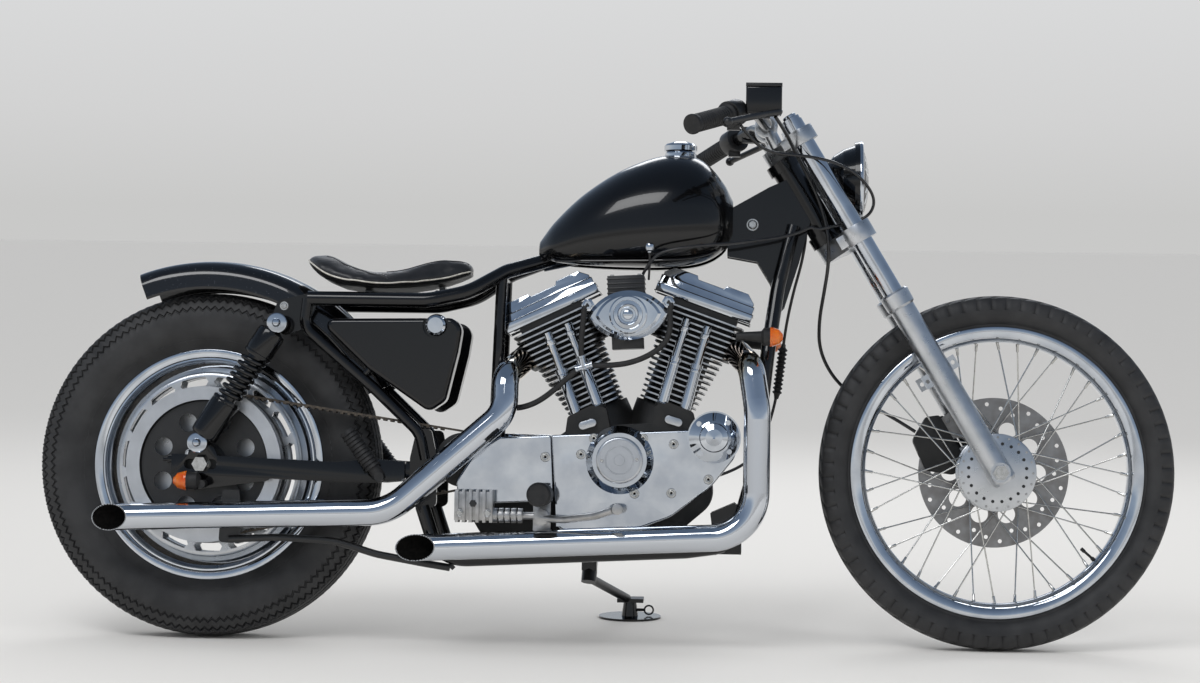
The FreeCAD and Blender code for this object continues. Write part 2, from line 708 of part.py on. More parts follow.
def rear_axle():
    """Axle with nuts and spacers."""
    end = ARM_Y + ARM_W / 2
    spin = rod(REAR_AXLE - V(0, end + 14, 0), REAR_AXLE + V(0, end + 14, 0), REAR_AXLE_R)
    pieces = [spin]
    for side in SIDES:
        face = side * (end + SEAT_GAP)
        pieces.append(hex_nut(REAR_AXLE + V(0, face, 0), V(0, side, 0), 15, 13))
    pieces.append(ring(REAR_AXLE + V(0, REAR_DISC_Y + DISC_T + RUN_GAP, 0),
                       REAR_AXLE + V(0, ARM_Y - ARM_W / 2 - SEAT_GAP, 0), 15, REAR_AXLE_R - 1))
    pieces.append(ring(REAR_AXLE - V(0, ARM_Y - ARM_W / 2 - SEAT_GAP, 0),
                       REAR_AXLE - V(0, BELT_Y + BELT_W / 2 + RUN_GAP + 0.2, 0), 15, REAR_AXLE_R - 1))
    return fuse(pieces)


def hex_nut(base, way, across_corner, height):
    """Six-sided nut standing on its base."""
    side_vec = X_AXIS if abs(way.x) < 0.5 else Z_AXIS
    other = way.cross(side_vec)
    corners = []
    for i in range(6):
        angle = math.pi / 3 * i
        corners.append(base + side_vec * (across_corner * math.cos(angle)) + other * (across_corner * math.sin(angle)))
    return Part.Face(Part.makePolygon(corners + [corners[0]])).extrude(way * height)


def shock(side):
    """Damper with covers and an exposed length of spring."""
    foot = V(SHOCK_FOOT[0], side * SHOCK_Y, SHOCK_FOOT[1])
    top = V(SHOCK_TOP[0], side * SHOCK_Y, SHOCK_TOP[1])
    axis = top - foot
    length = axis.Length
    eyes = [ring(p - V(0, 13, 0), p + V(0, 13, 0), 17, 8 + SEAT_GAP) for p in (foot, top)]
    body = turned([
        (15, 0), (15, 13), (24, 16), (28, 25), (92, 26), (96, 21), (100, 17), (152, 17), (154, 24), (158, 28),
        (length - 24, 28), (length - 18, 20), (length - 14, 12), (length - 14, 0)], foot, axis)
    coils = []
    spring_r = 22.5
    way = V(axis).normalize()
    for i in range(5):
        at = foot + way * (103 + 11.5 * i)
        coils.append(Part.makeTorus(spring_r - 1, 4.6, at, way))
    return fuse(eyes, body, coils)


def shocks():
    return Part.makeCompound([shock(side) for side in SIDES])


# Height of the fender over the tyre, of its side from crown to skirt, and of its arched part
FENDER_GAP = 63.0
FENDER_DEPTH = 56.0
FENDER_ARCH = 32.0
FENDER_R = REAR_TYRE_D / 2 + FENDER_GAP
FENDER_SKIRT_R = FENDER_R - FENDER_DEPTH
FENDER_HALF_W = 80.0
FENDER_T = 2.5
FENDER_START = -21.0
FENDER_END = 66.0


def rear_fender():
    """Bobbed steel fender: arched section with a raised centre rib, turned about the rear axle."""
    t = FENDER_T
    half = FENDER_HALF_W

    def at(y, r):
        angle = math.radians(FENDER_START)
        return REAR_AXLE + V(r * math.sin(angle), y, r * math.cos(angle))

    def arc(a, b, c):
        return Part.Arc(at(*a), at(*b), at(*c)).toShape()

    def line(a, b):
        return Part.LineSegment(at(*a), at(*b)).toShape()

    shoulder = FENDER_R - FENDER_ARCH
    edges = [
        line((-half, FENDER_SKIRT_R), (-half, shoulder)),
        arc((-half, shoulder), (-half * 0.82, FENDER_R - 13), (-26, FENDER_R - 3)),
        arc((-26, FENDER_R - 3), (0, FENDER_R), (26, FENDER_R - 3)),
        arc((26, FENDER_R - 3), (half * 0.82, FENDER_R - 13), (half, shoulder)),
        line((half, shoulder), (half, FENDER_SKIRT_R)),
        line((half, FENDER_SKIRT_R), (half - t, FENDER_SKIRT_R)),
        line((half - t, FENDER_SKIRT_R), (half - t, shoulder)),
        arc((half - t, shoulder), (half * 0.82 - t, FENDER_R - 13 - t), (26, FENDER_R - 3 - t)),
        arc((26, FENDER_R - 3 - t), (0, FENDER_R - t), (-26, FENDER_R - 3 - t)),
        arc((-26, FENDER_R - 3 - t), (-half * 0.82 + t, FENDER_R - 13 - t), (-half + t, shoulder)),
        line((-half + t, shoulder), (-half + t, FENDER_SKIRT_R)),
        line((-half + t, FENDER_SKIRT_R), (-half, FENDER_SKIRT_R)),
    ]
    skin = Part.Face(Part.Wire(edges)).revolve(REAR_AXLE, Y_AXIS, FENDER_END - FENDER_START)
    bolts = []
    for side in SIDES:
        for x, z in ((158, 647), (190, 640)):
            bolts.append(rod(V(x, side * (half - 1), z), V(x, side * (104 - SEAT_GAP), z), 6))
    return fuse(skin, bolts)


# Seat, tanks and covers

SEAT_SIDE = [(186, 736), (212, 750), (262, 722), (318, 711), (380, 722), (450, 743), (498, 738), (508, 716),
             (470, 690), (400, 682), (300, 678), (215, 702)]


def seat():
    """Solo saddle: a dished side outline trimmed to a teardrop plan."""
    body = polygon_xz(SEAT_SIDE, -130, 130)
    plan = [(184, -60), (215, -112), (300, -124), (370, -104), (440, -62), (505, -40),
            (505, 40), (440, 62), (370, 104), (300, 124), (215, 112), (184, 60)]
    corners = [V(x, y, 640) for x, y in plan]
    prism = Part.Face(Part.makePolygon(corners + [corners[0]])).extrude(V(0, 0, 160))
    return body.common(prism)


TANK_SIDE_Y = 131.0
OIL_TANK = [(216, 616, 14), (500, 621, 26), (490, 556, 30), (468, 462, 22), (436, 440, 20), (318, 520, 30)]


def oil_tank():
    """Pressed triangular tank with a recess for its filler."""
    body = rounded_plate(OIL_TANK, -TANK_SIDE_Y, -88)
    edges = [e for e in body.Edges if abs(e.CenterOfMass.y + TANK_SIDE_Y) < 0.5]
    body = body.makeFillet(9, edges)
    recess = rod(V(446, -TANK_SIDE_Y - 1, 606), V(446, -TANK_SIDE_Y + 14, 606), 25)
    return body.cut(recess)


def oil_cap():
    base = V(446, -TANK_SIDE_Y + 14 - SEAT_GAP, 606)
    return turned([(0, 0), (0, 14), (6, 14), (6, 19), (16, 19), (20, 15), (20, 0)], base, V(0, -1, 0))


def side_cover():
    """Battery cover on the left, the mirror of the oil tank."""
    body = mirrored(rounded_plate(OIL_TANK, -TANK_SIDE_Y, -88))
    edges = [e for e in body.Edges if abs(e.CenterOfMass.y - TANK_SIDE_Y) < 0.5]
    return body.makeFillet(9, edges)


CAP_X = 906.0
CAP_Z = 954.0
CAP_R = 32.0

# Fuel tank sections: place along X, half width, bottom, widest height, top
FUEL_SECTIONS = [
    (634, 26, 750, 760, 776),
    (662, 62, 737, 768, 814),
    (720, 96, 731, 792, 870),
    (800, 119, 728, 812, 922),
    (885, 125, 729, 824, 950),
    (950, 112, 738, 828, 939),
    (992, 84, 762, 824, 894),
    (1010, 44, 795, 828, 860),
]


# Roof of the tank's tunnel over the backbone
TUNNEL_ROOF = [(600, 760), (640, 766), (900, 826), (1000, 850), (1060, 868)]


def tunnel_roof(x):
    """Height of the tunnel's roof at a place along the machine."""
    for (x0, z0), (x1, z1) in zip(TUNNEL_ROOF, TUNNEL_ROOF[1:]):
        if x0 <= x <= x1:
            return z0 + (z1 - z0) * (x - x0) / (x1 - x0)
    return TUNNEL_ROOF[-1][1]


def fuel_section(x, half, bottom, waist, top):
    """Egg-shaped cross-section of four arcs and a flat underside."""
    flat = half * 0.55

    def at(y, z):
        return V(x, y, z)

    low_mid = (half * 0.90, bottom + (waist - bottom) * 0.30)
    high_mid = (half * 0.76, waist + (top - waist) * 0.66)
    edges = [
        Part.LineSegment(at(-flat, bottom), at(flat, bottom)).toShape(),
        Part.Arc(at(flat, bottom), at(*low_mid), at(half, waist)).toShape(),
        Part.Arc(at(half, waist), at(*high_mid), at(0, top)).toShape(),
        Part.Arc(at(0, top), at(-high_mid[0], high_mid[1]), at(-half, waist)).toShape(),
        Part.Arc(at(-half, waist), at(-low_mid[0], low_mid[1]), at(-flat, bottom)).toShape(),
    ]
    return Part.Wire(edges)


def fuel_tank():
    """Small peanut tank over the backbone."""
    body = Part.makeLoft([fuel_section(*row) for row in FUEL_SECTIONS], True, False)
    tunnel_low = 700
    roof = [(600, tunnel_low), (1060, tunnel_low)] + TUNNEL_ROOF[::-1]
    neck = rod(V(CAP_X, 0, CAP_Z - 24), V(CAP_X, 0, CAP_Z), CAP_R - 3)
    return fuse(body, neck).cut(polygon_xz(roof, -38, 38))


def fuel_cap():
    """Chromed cap with a domed top."""
    r = CAP_R
    return turned([(0, 0), (0, r - 4), (4, r - 1), (5, r), (14, r), (18, r - 4), (22, r - 16), (23, 0)],
                  V(CAP_X, 0, CAP_Z + SEAT_GAP), Z_AXIS)


# Engine, drawn about the crankshaft with X forward and Z up

BARREL_TOP = CYLINDER_FOOT + BARREL_FINS * FIN_PITCH
HEAD_TOP = BARREL_TOP + HEAD_FINS * FIN_PITCH + 8
PORT_OUT = V(97, -64, BARREL_TOP + 23)
PORT_WAY = V(0.36, -0.91, -0.2).normalize()
PORT_REACH = 90.0
# Inlet port: mouth across and beside the cylinder's axis
INLET_X = -72.0
INLET_Y = -6.0
INLET_R = 22.0


def crankcase():
    """Crank chamber, gearbox and the two cylinder decks as one heavy casting."""
    case = [(-338, 6, 30), (-330, 92, 26), (-150, 104, 12), (-112, 128, 10), (112, 128, 10), (150, 60, 30),
            (150, -30, 50), (70, -92, 40), (-290, -84, 40)]
    body = rounded_plate(case, CASE_Y, -CASE_Y)
    belt_room = belt_clearance()
    decks = []
    for way in (1, -1):
        deck = rod(V(0, 0, 70), V(0, 0, CYLINDER_FOOT - SEAT_GAP), 60)
        if way < 0:
            deck = deck.mirror(ORIGIN, X_AXIS)
        deck.rotate(ORIGIN, Y_AXIS, way * VEE_HALF_ANGLE)
        decks.append(deck)
    body = engine_place(fuse(body, decks))
    drive = V(BELT_DRIVE_X, -BELT_Y - BELT_W / 2, BELT_DRIVE_Z)
    pulley = rod(drive, drive + V(0, BELT_W + 22, 0), BELT_DRIVE_R)
    return body.cut(belt_room).fuse(pulley)


def belt_clearance():
    """Room for the belt round the drive pulley."""
    low = -BELT_Y - BELT_W / 2 - 2
    high = -BELT_Y + BELT_W / 2 + 2
    centre = V(BELT_DRIVE_X, low, BELT_DRIVE_Z)
    return rod(centre, V(BELT_DRIVE_X, high, BELT_DRIVE_Z), BELT_DRIVE_R + 14)


def fin_plate(z, x_in, x_out, y_half, corner):
    """One cooling fin: a thin plate with rounded corners."""
    plate = block(V(-x_in, -y_half, z), V(x_out, y_half, z + FIN_T))
    upright = [e for e in plate.Edges if abs(e.Length - FIN_T) < 1e-6]
    return plate.makeFillet(corner, upright)


def cylinder(way):
    """Finned barrel and head with its ports."""
    parts = [rod(V(0, 0, CYLINDER_FOOT), V(0, 0, BARREL_TOP + 4), BARREL_R)]
    for i in range(BARREL_FINS):
        share = i / (BARREL_FINS - 1)
        z = CYLINDER_FOOT + 4 + i * FIN_PITCH
        parts.append(fin_plate(z, 54 + 11 * share, 54 + 19 * share, 66, 24))
    head_low = BARREL_TOP + 2
    parts.append(block(V(-58, -52, head_low), V(72, 52, HEAD_TOP)))
    for i in range(HEAD_FINS):
        z = head_low + i * FIN_PITCH
        parts.append(fin_plate(z, 68, 84 + i, 72, 18))
    parts.append(rod(PORT_OUT - PORT_WAY * 46, PORT_OUT, PIPE_R - 1))
    parts.append(rod(V(INLET_X + 22, INLET_Y, PORT_OUT.z), V(INLET_X, INLET_Y, PORT_OUT.z), INLET_R))
    return cylinder_place(fuse(parts), way)


def rocker_cover(way):
    """Three-layer polished rocker box; the lid has two raised ends and a low middle."""
    low = HEAD_TOP + SEAT_GAP
    back = ROCKER_SHIFT - ROCKER_L / 2
    front = ROCKER_SHIFT + ROCKER_L / 2
    half = ROCKER_W / 2
    top = low + ROCKER_H
    dip = top - ROCKER_DIP
    split_low = low + ROCKER_H / 3
    split_high = low + ROCKER_H * 0.6
    base = polygon_xz([(back, low), (front, low), (front, split_low), (back, split_low)], -half, half)
    middle = polygon_xz([(back + 2, split_low - 1), (front - 2, split_low - 1), (front - 2, split_high),
                         (back + 2, split_high)], -half + 3, half - 3)
    lid = polygon_xz([(back + 5, split_high - 1), (front - 5, split_high - 1), (front - 5, top - 15),
                      (front - 22, top), (front - 66, top), (front - 70, dip), (back + 72, dip),
                      (back + 68, top), (back + 22, top), (back + 5, top - 15)], -half + 6, half - 6)
    return cylinder_place(fuse(base, middle, lid), way)


# Pushrod tubes: top x and z, foot x and z, mirrored for the rear cylinder
PUSHROD_TUBES = [
    (114.5, 325, 58.5, 157),
    (153.5, 308.5, 100.5, 141),
]


def pushrods():
    """Telescoping pushrod tubes standing on their lifter blocks."""
    sets = []
    for way in (1, -1):
        low = CAM_TOP + SEAT_GAP * 3
        block_plate = rounded_plate([(way * 38, low, 6), (way * 46, 160, 8), (way * 74, 166, 8),
                                     (way * 120, 146, 8), (way * 126, low, 6)], COVER_Y - 32, CASE_Y - SEAT_GAP)
        parts = [block_plate]
        for top_x, top_z, foot_x, foot_z in PUSHROD_TUBES:
            top = V(way * top_x, PUSHROD_Y, top_z)
            foot = V(way * foot_x, PUSHROD_Y, foot_z)
            run = top - foot
            parts.append(rod(foot - run * 0.06, foot + run * 0.56, 10.5))
            parts.append(rod(foot + run * 0.52, foot + run * 0.57, 12))
            parts.append(rod(foot + run * 0.5, top, 8))
            parts.append(rod(foot - run * 0.02, foot + run * 0.05, 13))
        sets.append(engine_place(fuse(parts)))
    return Part.makeCompound(sets)


CAM_OUTLINE = [(SPLIT_X, CAM_TOP, 4), (190, CAM_TOP, 30), (200, 60, 30), (150, 4, 60),
               (70, -52, 60), (10, -72, 60), (SPLIT_X + 4, -72, 20)]
TIMER_X = -23.0
TIMER_Z = 59.0
TIMER_R = 44.0
ROUND_X = 158.0
ROUND_Z = 95.0
ROUND_R = 48.0


def cam_cover():
    """Chromed gearcase cover with a raised boss round the timer."""
    y_face = COVER_Y - COVER_T
    plate = rounded_plate(CAM_OUTLINE, y_face, COVER_Y - SEAT_GAP)
    rim = [e for e in plate.Edges if abs(e.CenterOfMass.y - y_face) < 0.5]
    plate = plate.makeFillet(4, rim)
    boss = cone(V(TIMER_X, y_face + 2, TIMER_Z), V(TIMER_X, y_face - 16, TIMER_Z), 66, 52)
    sump = polygon_xz([(SPLIT_X + 4, -62), (20, -62), (60, -48), (20, -20), (SPLIT_X + 4, -20)], y_face - 8,
                      y_face + 1)
    front_boss = rod(V(ROUND_X, y_face + 1, ROUND_Z), V(ROUND_X, y_face - 6, ROUND_Z), ROUND_R + 3)
    return engine_place(fuse(plate, boss, sump, front_boss))


def timer_cover():
    """Brushed round cover in the middle of the gearcase."""
    y_face = COVER_Y - COVER_T - 16 - SEAT_GAP
    base = V(TIMER_X, y_face, TIMER_Z)
    disc = turned([(0, 0), (0, TIMER_R), (5, TIMER_R), (7, TIMER_R - 2), (7, 26), (5.5, 26), (5.5, 24), (7, 24),
                   (7, 0)], base, V(0, -1, 0))
    return engine_place(disc)


def round_cover():
    """Round domed cover at the front of the gearcase, held by three screws."""
    base = V(ROUND_X, COVER_Y - COVER_T - 6 - SEAT_GAP, ROUND_Z)
    body = turned([(0, 0), (0, ROUND_R), (5, ROUND_R), (16, ROUND_R - 16), (18, 28), (24, 26), (28, 16), (29, 0)],
                  base, V(0, -1, 0))
    screws = []
    for i in range(4):
        angle = math.radians(45 + 90 * i)
        at = base + V(39 * math.cos(angle), 0, 39 * math.sin(angle))
        screws.append(rod(at, at - V(0, 14, 0), 5))
    return engine_place(fuse(body, screws))


def sprocket_cover():
    """Chromed cover over the drive pulley."""
    edge = SPLIT_X - 0.5
    outline = [(-338, 30, 12), (-300, 84, 12), (-252, CAM_TOP, 14), (edge, CAM_TOP, 3), (edge, -14, 3),
               (-330, -14, 14)]
    y_face = COVER_Y - COVER_T + 2
    shell = rounded_plate(outline, y_face, COVER_Y - SEAT_GAP)
    rim = [e for e in shell.Edges if abs(e.CenterOfMass.y - y_face) < 0.5]
    shell = engine_place(shell.makeFillet(4, rim))
    room = rod(V(BELT_DRIVE_X, y_face + 6, BELT_DRIVE_Z), V(BELT_DRIVE_X, COVER_Y + 1, BELT_DRIVE_Z),
               BELT_DRIVE_R + 12)
    way_out = polygon_xz([(380, BELT_DRIVE_Z + 76), (500, BELT_DRIVE_Z + 66), (500, BELT_DRIVE_Z - 66),
                          (380, BELT_DRIVE_Z - 100)], y_face + 6, COVER_Y + 1)
    return shell.cut([room, way_out])


def primary_cover():
    """Left-hand chain case with clutch and inspection covers."""
    outline = [(-330, 62, 60), (-290, 124, 50), (-120, 112, 60), (60, 108, 60), (128, 40, 60), (128, -30, 60),
               (60, -96, 60), (-120, -92, 60), (-290, -84, 60), (-330, -30, 50)]
    y_face = 150
    plate = rounded_plate(outline, -CASE_Y + SEAT_GAP, y_face)
    rim = [e for e in plate.Edges if abs(e.CenterOfMass.y - y_face) < 0.5]
    plate = plate.makeFillet(14, rim)
    clutch = turned([(0, 0), (0, 62), (8, 60), (14, 40), (15, 0)], V(-210, y_face - 0.5, 20), V(0, 1, 0))
    inspect = rounded_plate([(-70, 30, 10), (-70, 74, 10), (-10, 74, 10), (-10, 30, 10)], y_face - 0.5, y_face + 6)
    alternator = turned([(0, 0), (0, 70), (10, 66), (12, 0)], V(24, y_face - 0.5, -2), V(0, 1, 0))
    return engine_place(fuse(plate, clutch, inspect, alternator))


AIR_X = 5.0
AIR_Z = 333.0


def eye_outline(half_l, half_h, y):
    """Pointed oval of two arcs."""
    left = V(AIR_X - half_l, y, AIR_Z)
    right = V(AIR_X + half_l, y, AIR_Z)
    top = Part.Arc(left, V(AIR_X, y, AIR_Z + half_h), right).toShape()
    low = Part.Arc(right, V(AIR_X, y, AIR_Z - half_h), left).toShape()
    return Part.Wire([top, low])


def air_cleaner():
    """Pointed-oval cover with stepped rings, and its breather bolts."""
    dome = []
    for half_l, half_h, low, high, bevel in ((79, 47, -167, -148, 7), (62, 41, -177, -166, 5)):
        slab = Part.Face(eye_outline(half_l, half_h, high)).extrude(V(0, low - high, 0))
        front = [edge for edge in slab.Edges if edge.BoundBox.YLength < 0.01 and abs(edge.BoundBox.YMin - low) < 0.01]
        dome.append(slab.makeChamfer(bevel, front))
    rings = turned([(0, 0), (0, 35), (6, 35), (8, 33), (8, 28), (6, 27), (6, 20), (10, 18), (10, 10), (7, 9), (7, 0)],
                   V(AIR_X, -176, AIR_Z), V(0, -1, 0))
    plate = Part.Face(eye_outline(74, 43, -132)).extrude(V(0, -16.5, 0))
    ears = []
    for way in (1, -1):
        at = V(AIR_X + way * 76, 0, AIR_Z + 22)
        ears.append(rod(at + V(0, -114, 0), at + V(0, -156, 0), 11))
        ears.append(rod(at + V(0, -140, -2), V(AIR_X + way * 48, -140, AIR_Z + 6), 6))
    return engine_place(fuse(dome, rings, plate, ears))


# Height of the box on the carburettor over the air cleaner's centre
CARB_CAP_TOP = 78.0


def carburettor():
    """Carburettor body, float bowl, inlet elbow and the black box above it."""
    throat = rod(V(0, -58, AIR_Z - 8), V(0, -132 + SEAT_GAP, AIR_Z - 8), 27)
    body = rod(V(0, -98, AIR_Z - 34), V(0, -98, AIR_Z + 30), 28)
    bowl = block(V(-30, -122, AIR_Z - 62), V(30, -72, AIR_Z - 30))
    cap = block(V(-34, -128, AIR_Z + 28), V(36, -70, AIR_Z + CARB_CAP_TOP))
    stubs = []
    middle = V(0, -30, AIR_Z - 9)
    for way in (1, -1):
        angle = math.radians(way * VEE_HALF_ANGLE)
        along = V(-way * math.cos(angle), 0, way * math.sin(angle))
        port = V(way * INLET_X * math.cos(angle), INLET_Y, -way * INLET_X * math.sin(angle))
        port += V(PORT_OUT.z * math.sin(angle), 0, PORT_OUT.z * math.cos(angle))
        stubs.append(rod(port + along * SEAT_GAP, port + along * 14, INLET_R))
        stubs.append(rod(port + along * 12, middle, INLET_R - 4))
    centre = rod(V(0, -20, AIR_Z - 9), V(0, -62, AIR_Z - 9), 24)
    return engine_place(fuse(throat, body, bowl, cap, stubs, centre))


# Exhausts

# Pipe corners after the port
FRONT_PIPE = [(1062, -166, 452), (1062, -166, 214), (372, -166, 180)]
FRONT_PIPE_RADII = [40, 120, 86]
REAR_PIPE = [(584, -164, 440), (366, -166, 249), (-212, -166, 229)]
REAR_PIPE_RADII = [40, 60, 110]


def port_point(way, beyond):
    """Point beyond the mouth of the front (1) or rear (-1) exhaust port."""
    local = PORT_OUT + PORT_WAY * beyond
    angle = math.radians(way * VEE_HALF_ANGLE - ENGINE_TILT)
    x = way * local.x
    return V(CRANK_X + x * math.cos(angle) + local.z * math.sin(angle), local.y,
             CRANK_Z - x * math.sin(angle) + local.z * math.cos(angle))


def exhaust(way, rows, radii, cut_low, cut_high):
    """Drag pipe with a vertical slash cut that opens outwards."""
    points = [port_point(way, SEAT_GAP), port_point(way, PORT_REACH)] + [V(*row) for row in rows]
    pipe = bent_tube(points, radii, PIPE_R, PIPE_WALL)
    slash = [V(cut_low, PIPE_Y + PIPE_R + 2, 0), V(cut_high, PIPE_Y - PIPE_R - 2, 0),
             V(cut_low - 90, PIPE_Y - PIPE_R - 2, 0), V(cut_low - 90, PIPE_Y + PIPE_R + 2, 0)]
    wedge = Part.Face(Part.makePolygon(slash + [slash[0]])).extrude(V(0, 0, 500))
    return pipe.cut(wedge)


def exhaust_front():
    return exhaust(1, FRONT_PIPE, FRONT_PIPE_RADII, 374, 462)


def exhaust_rear():
    return exhaust(-1, REAR_PIPE, REAR_PIPE_RADII, -210, -126)


# Foot controls and small gear

PEG_X = 657.0
PEG_Z = 287.0
PEG_BRACKET_X = (640, 673)
PEG_R = 23.0
RAIL_TOP_Z = 183.6


def brake_pedal():
    """Rear master cylinder with its cooling ribs, boot, pushrod, peg bracket and pedal."""
    parts = [block(V(492, -172, 236), V(564, -136, 290))]
    for i in range(6):
        x = 494 + i * 13
        parts.append(block(V(x, -178, 232), V(x + 6, -134, 294)))
    parts.append(block(V(504, -136, 268), V(552, COVER_Y - COVER_T + 1.9, 288)))
    boot = V(564, -157, 246)
    for i in range(5):
        parts.append(rod(boot + V(i * 12, 0, 0), boot + V(i * 12 + 9, 0, 0), 14))
    parts.append(rod(boot, V(PEG_X, -157, 246), 7))
    low, high = PEG_BRACKET_X
    parts.append(block(V(low, -148, 214), V(high, -138, PEG_Z + 18)))
    parts.append(block(V(low, -148, 213.5), V(high, -106, 220)))
    parts.append(block(V(low, -118, RAIL_TOP_Z), V(high, -106, 219)))
    parts.append(rod(V(PEG_X, -140, 244), V(PEG_X, -172, 244), 15))
    parts.append(bent_tube([V(PEG_X, -165, 242), V(700, -176, 240), V(760, -204, 248), V(800, -222, 262)],
                           [60, 60], 7))
    parts.append(rod(V(796, -196, 262), V(804, -250, 262), 10))
    return fuse(parts)


def shift_pedal():
    """Left peg bracket with the gear lever and its linkage."""
    low, high = PEG_BRACKET_X
    parts = [block(V(low, 168, 184), V(high, 178, PEG_Z + 18)), block(V(low, 106, RAIL_TOP_Z), V(high, 178, 192)),
             block(V(low, 106, RAIL_TOP_Z), V(high, 118, 188)), rod(V(PEG_X, 176, 244), V(PEG_X, 200, 244), 15)]
    parts.append(bent_tube([V(PEG_X, 192, 242), V(700, 200, 246), V(770, 212, 262), V(822, 216, 290)], [60, 80], 7))
    parts.append(rod(V(818, 196, 290), V(826, 252, 290), 10))
    return fuse(parts)


def rider_pegs():
    """Rubber-covered pegs on their brackets."""
    made = []
    for side, inner in ((RIGHT, 148), (LEFT, 178)):
        base = V(PEG_X, side * (inner + SEAT_GAP), PEG_Z)
        made.append(turned([(0, 0), (0, 15), (10, 17), (12, PEG_R - 1), (104, PEG_R), (110, PEG_R - 4), (110, 0)],
                           base, V(0, side, 0)))
    return Part.makeCompound(made)


def passenger_pegs():
    """Ribbed pegs folded up against the swing arm."""
    made = []
    ribs = 11
    pitch = 7.8
    for side in SIDES:
        y = side * 154
        foot = V(347, y, PIVOT_Z - 12)
        top = V(281, y, 404)
        way = V(top - foot).normalize()
        outline = [(0, 0), (0, 12), (22, 12)]
        for i in range(ribs):
            outline += [(22 + i * pitch, 17), (22 + i * pitch + pitch * 0.9, 14.5)]
        outline += [(22 + ribs * pitch, 14.5), (22 + ribs * pitch, 0)]
        pin = rod(V(347, side * (ARM_Y + ARM_W / 2 + SEAT_GAP), foot.z), V(347, side * 170, foot.z), 9)
        made.append(fuse(turned(outline, foot, way), pin))
    return Part.makeCompound(made)


def rear_caliper():
    """Caliper on the left-hand disc with its anchor plate from the axle."""
    y_disc = REAR_DISC_Y + DISC_T / 2
    body = rounded_plate([(-6, 262, 12), (62, 262, 12), (66, 196, 14), (46, 178, 12), (-4, 180, 12)],
                         y_disc - 17, y_disc + 20)
    gap = wheel_turning([(y_disc - 8, 0), (y_disc - 8, REAR_DISC_R + 6), (y_disc + 8, REAR_DISC_R + 6),
                         (y_disc + 8, 0)], REAR_AXLE)
    y_low = y_disc + 18
    anchor = polygon_xz([(-24, REAR_AXLE.z + 12), (24, REAR_AXLE.z + 12), (58, 250), (50, 200), (0, 200),
                         (-12, 250)], y_low, ARM_Y - ARM_W / 2 - 1)
    hole = rod(REAR_AXLE + V(0, y_low - 1, 0), REAR_AXLE + V(0, y_low + 20, 0), 15 + SEAT_GAP)
    stop = block(V(60, ARM_Y - ARM_W / 2 - 10, 262), V(84, ARM_Y - ARM_W / 2 - 1, 306))
    link = block(V(30, ARM_Y - ARM_W / 2 - 10, 246), V(84, ARM_Y - ARM_W / 2 - 1, 270))
    return fuse(body.cut(gap), anchor.cut(hole), stop, link)


def belt_guard():
    """Lower belt guard bar with its cast bracket under the swing arm."""
    bar = bent_tube([V(58, -139, 192), V(150, -139, 197), V(262, -138, 192), V(340, -132, 168),
                     V(430, -122, 152), V(480, -113, 144)], [200, 200, 200, 200], 7)
    bracket = rounded_plate([(38, 186, 8), (44, 286, 4), (76, 286, 4), (84, 216, 10), (70, 184, 10)], -137, -131.1)
    end = rod(V(480, -113, 144), V(486, RAIL_Y * RIGHT, 150), 7)
    return fuse(bar, bracket, end)


def bullet(base, way, radius, body_l, lens_l):
    """Small round lamp: body and domed lens, as one turned shape."""
    return turned([(0, 0), (0, radius * 0.55), (6, radius), (body_l, radius), (body_l, radius + 1.5),
                   (body_l + 4, radius + 1.5), (body_l + lens_l * 0.7, radius * 0.85),
                   (body_l + lens_l, radius * 0.35), (body_l + lens_l, 0)], base, way)


def signals():
    """Front pair on the down tubes and rear pair at the axle plates."""
    made = []
    for side in SIDES:
        rear = V(-4, side * 152, 302)
        stalk = rod(V(6, side * (ARM_Y + 8), 296), V(6, side * 160, 296), 8)
        made.append(fuse(bullet(rear + V(8, 0, 0), V(-1, 0, 0), 17, 26, 26), stalk))
        front = V(1066, side * 166, 591)
        arm = rod(V(1082, side * (78 + RAIL_R - 0.7), 591), V(1074, side * 162, 591), 6)
        tail = cone(V(1020, side * 164, 592), V(1068, side * 166, 591), 7, 11)
        made.append(fuse(bullet(front, V(1, 0, 0), 17, 18, 24), arm, tail))
    return Part.makeCompound(made)


# Steering: drawn with the steering plane upright, X forward from the fork legs and Z up them

def fork_place(shape):
    shape.rotate(ORIGIN, Y_AXIS, -RAKE)
    shape.translate(FRONT_AXLE)
    return shape


HALF_SPACING = FORK_SPACING / 2


def yoke(s, thickness, clamp_r, stem_r):
    """Clamp plate round both fork tubes and the steering stem."""
    low = s - thickness / 2
    plan = [(18, 88), (-18, 96), (-FORK_OFFSET - 20, 24), (-FORK_OFFSET - 20, -24), (-18, -96), (18, -88),
            (-4, -40), (-8, 0), (-4, 40)]
    corners = [V(x, y, low) for x, y in plan]
    web = Part.Face(Part.makePolygon(corners + [corners[0]])).extrude(V(0, 0, thickness))
    parts = [web, rod(V(-FORK_OFFSET, 0, low), V(-FORK_OFFSET, 0, low + thickness), stem_r)]
    for side in SIDES:
        y = side * HALF_SPACING
        parts.append(rod(V(0, y, low), V(0, y, low + thickness), clamp_r))
        pinch_y = side * (HALF_SPACING + 4)
        parts.append(block(V(-clamp_r - 12, min(y - 9, pinch_y - 9), low + 5),
                           V(-12, max(y + 9, pinch_y + 9), low + thickness - 5)))
    return fuse(parts)


